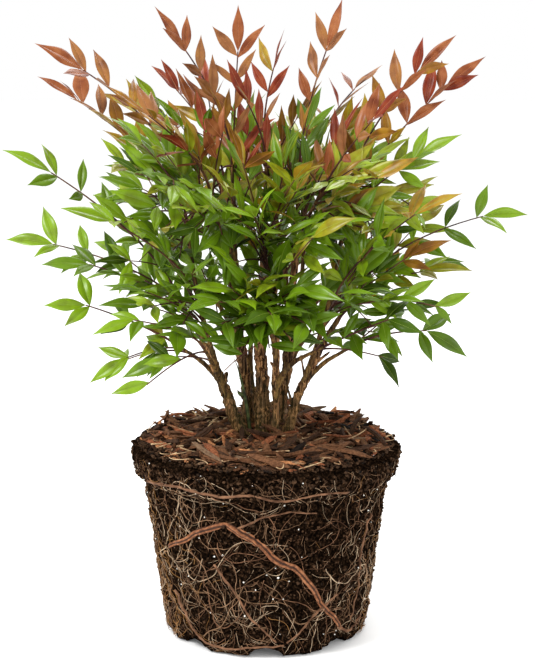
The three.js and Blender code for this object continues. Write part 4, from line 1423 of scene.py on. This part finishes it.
def root_region(angle, height):
    """Whether a root starts in the bare patch, at the ball's sides or elsewhere."""
    aside = (math.degrees(angle) - BARE_PATCH["azimuth"]) / BARE_PATCH["aside"]
    if math.hypot(aside, (height - BARE_PATCH["height"]) / BARE_PATCH["above"]) < 1:
        return "bare"
    return "side" if at_side(angle) else "elsewhere"


def at_side(angle):
    return math.cos(angle) < BALL_SIDES["left"] or math.cos(angle) > BALL_SIDES["right"]


def root_walk(rng, angle, height, heading, length, wander):
    """The places that a root runs over: it wanders, and stops at the foot, top and notches."""
    places = []
    drift = 0.0
    for _ in range(int(length / ROOT_STEP) + 2):
        places.append((angle, height))
        drift = drift * 0.7 + rng.normal(0, wander)
        heading += drift
        height += ROOT_STEP * math.sin(heading)
        angle += ROOT_STEP * math.cos(heading) / ball_radius(height)
        foot = ROOT_MARGIN + notch_arch(math.cos(angle) * BALL["foot_radius"],
                                        math.sin(angle) * BALL["foot_radius"])
        if height > BALL["rim_height"] - ROOT_MARGIN or height < foot:
            break
    return places


def root_start(rng, k, length, walks):
    if k < ROOTS_UNTIL["fine"]:
        return anywhere(rng, length)
    if k < ROOTS_UNTIL["branch"]:
        return branch_of(rng, walks[rng.integers(len(walks))])
    return short_bit(rng)


def lay_roots(rng, heaps):
    """Lays the net of roots by chance."""
    names = list(heaps)
    walks = []
    for k in range(ROOTS_UNTIL["bit"]):
        length, radii, wander, sides = ROOT_KINDS["thick" if k < ROOTS_UNTIL["thick"] else "fine"]
        start = root_start(rng, k, length, walks)
        angle, height = start[:2]
        if k < ROOTS_UNTIL["branch"] and rng.random() < LEFT_OUT[root_region(angle, height)]:
            continue
        radius = rng.uniform(*radii)
        walk = root_walk(rng, *start, wander)
        if len(walk) < 3:
            continue
        walks.append(walk)
        wave = 0.35 * np.sin(np.arange(len(walk)) * rng.uniform(0.3, 0.8) + rng.uniform(0, 6))
        line = on_ball(*np.array(walk).T, ROOT_LIFT + wave)
        tint = rng.choice(len(names), p=ROOT_SHARES["side" if at_side(angle) else "elsewhere"])
        heaps[names[tint]].add(*tube(line, radius * np.linspace(1.0, 0.5, len(line)), sides))


def make_roots():
    rng = np.random.default_rng(SEEDS["roots"])
    heaps = {name: Heap() for name in ROOT_STOPS}
    lay_roots(rng, heaps)
    for radius, route in THIN_ROOTS:
        line = smooth_route(route, 3.0, 0.4)
        uneven = 1 + 0.16 * rng.normal(size=len(line))
        taper = radius * np.linspace(1.05, 0.65, len(line)) * uneven
        heaps["brown"].add(*tube(line, taper, 6))
    for name, heap in heaps.items():
        heap.made(f"roots_{name}", mottled(f"root {name}", ROOT_STOPS[name], 90, 0.7), "soil")


def smooth_route(route, spacing, lift):
    """A line over the ball through places given as degrees round it and height."""
    places = np.array(route, float)
    t = np.arange(len(places))
    fine = np.linspace(0, len(places) - 1, 200)
    azimuth = np.interp(fine, t, places[:, 0])
    height = np.interp(fine, t, places[:, 1])
    kernel = np.hanning(31) / np.hanning(31).sum()

    def smoothed(values):
        padded = np.concatenate([np.full(15, values[0]), values, np.full(15, values[-1])])
        return np.convolve(padded, kernel, "valid")

    angle, height = np.radians(smoothed(azimuth)), smoothed(height)
    rough = on_ball(angle, height, np.zeros(200))
    walked = np.concatenate([[0], np.cumsum(np.linalg.norm(np.diff(rough, axis=0), axis=1))])
    places = np.linspace(0, walked[-1], int(walked[-1] / spacing))
    angle, height = np.interp(places, walked, angle), np.interp(places, walked, height)
    return on_ball(angle, height, np.full(len(angle), lift))


STRANDS = 8  # in a thick root
STRAND_SPACING = 2.0  # between the rings of points of each
# Their size and distance from the root's middle, as shares of its radius.
STRAND = {"light": (0.34, 0.68), "dark": (0.3, 0.52)}
# The dark strands' colours are painted shade in the grooves between the light strands.
STRAND_STOPS = {
    "light": [(0.34, (94, 55, 34)), (0.5, (128, 80, 50)), (0.66, (166, 112, 76))],
    "dark": [(0.34, (40, 22, 14)), (0.66, (78, 46, 29))],
}


def make_big_roots():
    """Each thick root is a bundle of strands that run beside each other, with darker ones sunk
    in the grooves between: their dark colour is painted shade in the grooves."""
    heaps = {name: Heap() for name in STRAND}
    for k, (radius, route) in enumerate(BIG_ROOTS):
        line = smooth_route(route, STRAND_SPACING, -0.1 * radius)
        way = np.arange(len(line)) * STRAND_SPACING
        taper = radius * (0.6 + 0.35 * np.sin(np.linspace(0, np.pi, len(line))))
        a, b = sections(line)
        line = line + a * (0.8 * np.sin(way / 6.5))[:, None]
        line = line + b * (0.7 * np.sin(way / 8.3 + 1))[:, None]
        for j in range(STRANDS):
            # every other strand is a dark one, whose colour is painted shade in the grooves
            name = "dark" if j % 2 else "light"
            size, distance = STRAND[name]
            turn = 2 * np.pi * j / STRANDS + 0.004 * way + 0.15 * np.sin(way / 23 + 0.7)
            off = a * np.cos(turn)[:, None] + b * np.sin(turn)[:, None]
            radii = taper * size * (1 + 0.12 * np.sin(way / 9 + 1.7 * j))
            seed = SEEDS["strands"] + 10 * k + j
            relief = 0.05 * waves(np.repeat(line[:, None], 9, 1) + off[:, None], 9, seed)
            heaps[name].add(*tube(line + off * taper[:, None] * distance, radii, 9, relief))
    for name, heap in heaps.items():
        look = mottled(f"big root {name}", STRAND_STOPS[name], 210, 0.6, (1, 1, 1), 0.3, 0.2)
        heap.made(f"big_roots_{name}", look, "soil")


# ---------------------------------------------------------------- mulch

CHIP_TINTS = {
    # The black chips are partly dark bark and partly painted shade of the gaps between chips.
    "black": ((14, 9, 6), (30, 20, 14)),
    "dark": ((42, 27, 18), (74, 50, 35)),
    "brown": ((76, 49, 32), (114, 77, 52)),
    "grey": ((90, 68, 51), (130, 103, 80)),
    "red": ((106, 60, 38), (150, 92, 61)),
    # The tan chips are partly pale bark and partly painted highlight.
    "tan": ((142, 90, 56), (192, 134, 90)),
}
CHIP_SHARES = (0.2, 0.28, 0.21, 0.1, 0.15, 0.06)
# Sizes of chip in the order in which they are laid: how many, their lengths, and their widths as
# shares of that.
CHIPS = {
    "small": (480, (7, 15), (0.13, 0.3)),
    "middling": (381, (14, 30), (0.13, 0.3)),
    "big": (289, (24, 46), (0.1, 0.19)),
}
CHIP_THICKNESS = (2.6, 5.0)
CHIP_EDGE = 108.0  # chips further out than this lie along the rim
SHREDS = 150


def chip(rng, centre, yaw, pitch, roll, length, width, thickness):
    """A shard of bark: a long flat piece with tapered, torn ends and grain along it."""
    rows, sides = 9, 16
    u = evenly(rows)
    sharp = rng.uniform(0.35, 1.0, 2)
    outline = np.minimum(1, u / 0.28 + 0.18) ** sharp[0]
    outline = outline * np.minimum(1, (1 - u) / 0.3 + 0.14) ** sharp[1]
    turn = full_turn(sides)
    grain = 1 + 0.26 * rng.normal(size=sides).clip(-1.6, 1.6)
    rough = 1 + 0.06 * rng.normal(size=(rows, sides))
    bow = rng.normal(0, 0.05) * length * np.sin(np.pi * u)
    lean = rng.normal(0, 0.08) * length * (u - 0.5) ** 2
    ring = grain[None] * rough * outline[:, None]
    y = ring * np.cos(turn) * width / 2 + lean[:, None]
    z = ring**0.5 * np.sin(turn) * thickness / 2 + bow[:, None]
    at_end = (u[:, None] < 0.05) | (u[:, None] > 0.95)
    torn = 0.06 * length * rng.normal(size=sides) * at_end
    x = np.repeat((u[:, None] - 0.5) * length, sides, 1) + torn
    cos, sin = np.cos([yaw, pitch, roll]), np.sin([yaw, pitch, roll])
    turn_x = np.array([[1, 0, 0], [0, cos[2], -sin[2]], [0, sin[2], cos[2]]])
    turn_y = np.array([[cos[1], 0, sin[1]], [0, 1, 0], [-sin[1], 0, cos[1]]])
    turn_z = np.array([[cos[0], -sin[0], 0], [sin[0], cos[0], 0], [0, 0, 1]])
    body = np.stack([x, y, z], -1) @ (turn_z @ turn_y @ turn_x).T + centre
    return body, closed_faces(rows, sides)


def laid_chip(rng, big, at_edge, lengths, widths):
    """A chip in its place on the ball's top, after the number of its tint."""
    radius = rng.uniform(104, 130) if at_edge else 122 * math.sqrt(rng.uniform(0.004, 1))
    angle = rng.uniform(0, 2 * np.pi)
    length = rng.uniform(*lengths)
    width = length * rng.uniform(*widths)
    thickness = min(width, rng.uniform(*CHIP_THICKNESS))
    steep = 0.15 if big or rng.random() < 0.65 else 0.36
    pitch = np.clip(rng.normal(0, steep), -0.7, 0.7)
    yaw = rng.uniform(0, 2 * np.pi)
    if radius > CHIP_EDGE:
        yaw = angle + np.pi / 2 + rng.normal(0, 0.6)
    place = on_top(radius, angle, rng.uniform(-1.5, 3.0) + (2.8 if big else 0))
    place[2] += abs(math.sin(pitch)) * length * 0.25
    tint = rng.choice(len(CHIP_TINTS), p=CHIP_SHARES)
    return tint, chip(rng, place, yaw, pitch, rng.normal(0, 0.28), length, width, thickness)


def make_mulch():
    rng = np.random.default_rng(SEEDS["mulch"])
    heaps = {name: Heap() for name in CHIP_TINTS}
    names = list(heaps)
    for size, (count, lengths, widths) in CHIPS.items():
        for k in range(count):
            at_edge = size == "small" and k % 2 == 1
            tint, made = laid_chip(rng, size == "big", at_edge, lengths, widths)
            name = names[tint]
            # Big chips are never black: the black ones stand partly for painted shade in the gaps.
            if size == "big" and name == "black":
                name = "brown"
            heaps[name].add(*made)
    for name, heap in heaps.items():
        dark, light = CHIP_TINTS[name]
        look = mottled(f"mulch {name}", [(0.36, dark), (0.62, light)], 420, 0.85, (1, 1, 1), 0.25)
        heap.made(f"mulch_{name}", look, "bark", smooth=False)


def make_shreds():
    """Thin fibres and twig ends among the mulch."""
    rng = np.random.default_rng(SEEDS["shreds"])
    heap = Heap()
    for _ in range(SHREDS):
        radius = 128 * math.sqrt(rng.uniform(0.01, 1))
        angle, yaw = rng.uniform(0, 2 * np.pi, 2)
        length = rng.uniform(10, 38)
        foot = on_top(radius, angle, 4.5)
        way = np.array([math.cos(yaw), math.sin(yaw), rng.normal(0.05, 0.12)])
        bend = foot + way * length * 0.5 + rng.normal(0, 3.0, 3) * np.array([1, 1, 0.5])
        end = foot + way * length
        end[:2] *= min(1, 131 / np.hypot(*end[:2]))
        heap.add(*tube(curved(foot, bend, end, 8), rng.uniform(0.3, 0.75), 5))
    look = mottled("shreds", [(0.35, (120, 84, 56)), (0.6, (206, 176, 136))], 120, 0.8)
    heap.made("mulch_shreds", look, "bark")


# Perlite and crumbs in the order in which they are laid, with the number at which each kind ends.
CRUMBS_UNTIL = {"perlite": 170, "anywhere": 3201, "rim band": 4401, "rim top": 6400}
CRUMB_SIZES = {"perlite": (0.5, 1.2), "anywhere": (0.8, 2.0), "rim": (0.9, 2.1)}
AT_TOP = 0.3  # share that lies on the top, but for those of the rim's top
CRUMB_REACH = 133.0  # from the middle of the top
RIM_AREA = 0.66  # the share of the top's area inside the rim's crumbs


def lump(rng, centre, size):
    """A small crumb with uneven sides."""
    rows, sides = 4, 6
    rise = np.linspace(0.12, np.pi - 0.12, rows)
    turn = full_turn(sides)
    ring = np.sin(rise)[:, None] * (1 + 0.2 * rng.normal(size=(rows, sides)))
    heights = np.repeat(np.cos(rise)[:, None], sides, 1)
    body = np.stack([ring * np.cos(turn), ring * np.sin(turn), heights], -1)
    body = body * size * rng.uniform(0.6, 1.1, 3) + centre
    return body, [faces[:, ::-1] for faces in closed_faces(rows, sides)]


def crumb_place(rng, angle, at_top, at_rim):
    if at_top:
        radius = CRUMB_REACH * math.sqrt(rng.uniform(RIM_AREA if at_rim else 0.01, 1))
        return on_top(radius, angle, rng.uniform(0.3, 2.2))
    height = rng.uniform(BALL["step_height"] + 6 if at_rim else 14, BALL["rim_height"] - 3)
    return on_ball(np.array(angle), np.array(height), 0.2)


def make_crumbs():
    """Perlite grains and soil crumbs that stand out of the ball's wall and its top."""
    rng = np.random.default_rng(SEEDS["crumbs"])
    heaps = {"perlite": Heap(), "wall": Heap(), "top": Heap()}
    for k in range(CRUMBS_UNTIL["rim top"]):
        white = k < CRUMBS_UNTIL["perlite"]
        at_rim = k >= CRUMBS_UNTIL["anywhere"]
        last = k >= CRUMBS_UNTIL["rim band"]
        angle = rng.uniform(0, 2 * np.pi)
        size = rng.uniform(*CRUMB_SIZES["perlite" if white else "anywhere"])
        if at_rim:
            size = rng.uniform(*CRUMB_SIZES["rim"])
        at_top = last or rng.random() < AT_TOP
        centre = crumb_place(rng, angle, at_top, last if at_top else at_rim)
        heaps["perlite" if white else "top" if at_top else "wall"].add(*lump(rng, centre, size))
    white_look = mottled("perlite", [(0.3, (206, 200, 190)), (0.6, (246, 244, 238))], 300, 0.9)
    heaps["perlite"].made("perlite", white_look, "soil", smooth=False)
    look = mottled("crumb", [(0.36, (10, 7, 5)), (0.66, (84, 60, 41))], 200, 0.95)
    for place in ("wall", "top"):
        heaps[place].made(f"soil_crumbs_{place}", look, "soil", smooth=False)


# ---------------------------------------------------------------- studio

LENS = 88.5
CAMERA_PLACE = (0.0016, -1.648, 0.613)  # metres, as in the rest of the studio
CAMERA_DOWN = 10.27  # degrees
FLOOR_REACH = 14.0
LAMPS_AIM = np.array([0, 0, 0.35])
# name, place, size, power
LAMPS = [
    ("key", (-2.0, -1.3, 2.5), 1.0, 88.0),
    ("fill", (1.4, -2.0, 1.3), 1.3, 18.0),
    ("back", (0.6, 1.6, 2.3), 1.2, 30.0),
]


def make_camera():
    data = bpy.data.cameras.new("camera")
    data.lens = LENS
    camera = in_scene("camera", data)
    camera.location = CAMERA_PLACE
    camera.rotation_euler = (math.radians(90 - CAMERA_DOWN), 0, 0)
    bpy.context.scene.camera = camera


def make_floor():
    mesh = bpy.data.meshes.new("floor")
    signs = ((-1, -1), (1, -1), (1, 1), (-1, 1))
    corners = [(x * FLOOR_REACH, y * FLOOR_REACH, 0) for x, y in signs]
    mesh.from_pydata(corners, [], [(0, 1, 2, 3)])
    look, _, shader = new_look("floor", (253, 253, 252), 0.9, 0.1)
    shader.inputs["Emission Color"].default_value = (1.0, 1.0, 1.0, 1.0)
    shader.inputs["Emission Strength"].default_value = 0.06
    mesh.materials.append(look)
    ground = in_scene("floor", mesh)


def make_lamp(name, place, size, power):
    data = bpy.data.lights.new(name, "AREA")
    data.size = size
    data.energy = power
    lamp = in_scene(name, data)
    lamp.location = place
    x, y, z = LAMPS_AIM - np.array(place)
    lamp.rotation_euler = (math.atan2(math.hypot(x, y), -z), 0, math.atan2(y, x) - math.pi / 2)


def make_studio():
    make_floor()
    world = bpy.data.worlds.new("studio")
    world.use_nodes = True
    background = world.node_tree.nodes["Background"]
    background.inputs["Color"].default_value = (1.0, 1.0, 1.0, 1.0)
    background.inputs["Strength"].default_value = 1.0
    bpy.context.scene.world = world
    for lamp in LAMPS:
        make_lamp(*lamp)
    bpy.context.scene.view_settings.view_transform = "Standard"


make_camera()
make_studio()
make_foliage()
make_limbs()
make_shoot()
make_soil()
make_roots()
make_big_roots()
make_mulch()
make_shreds()
make_crumbs()
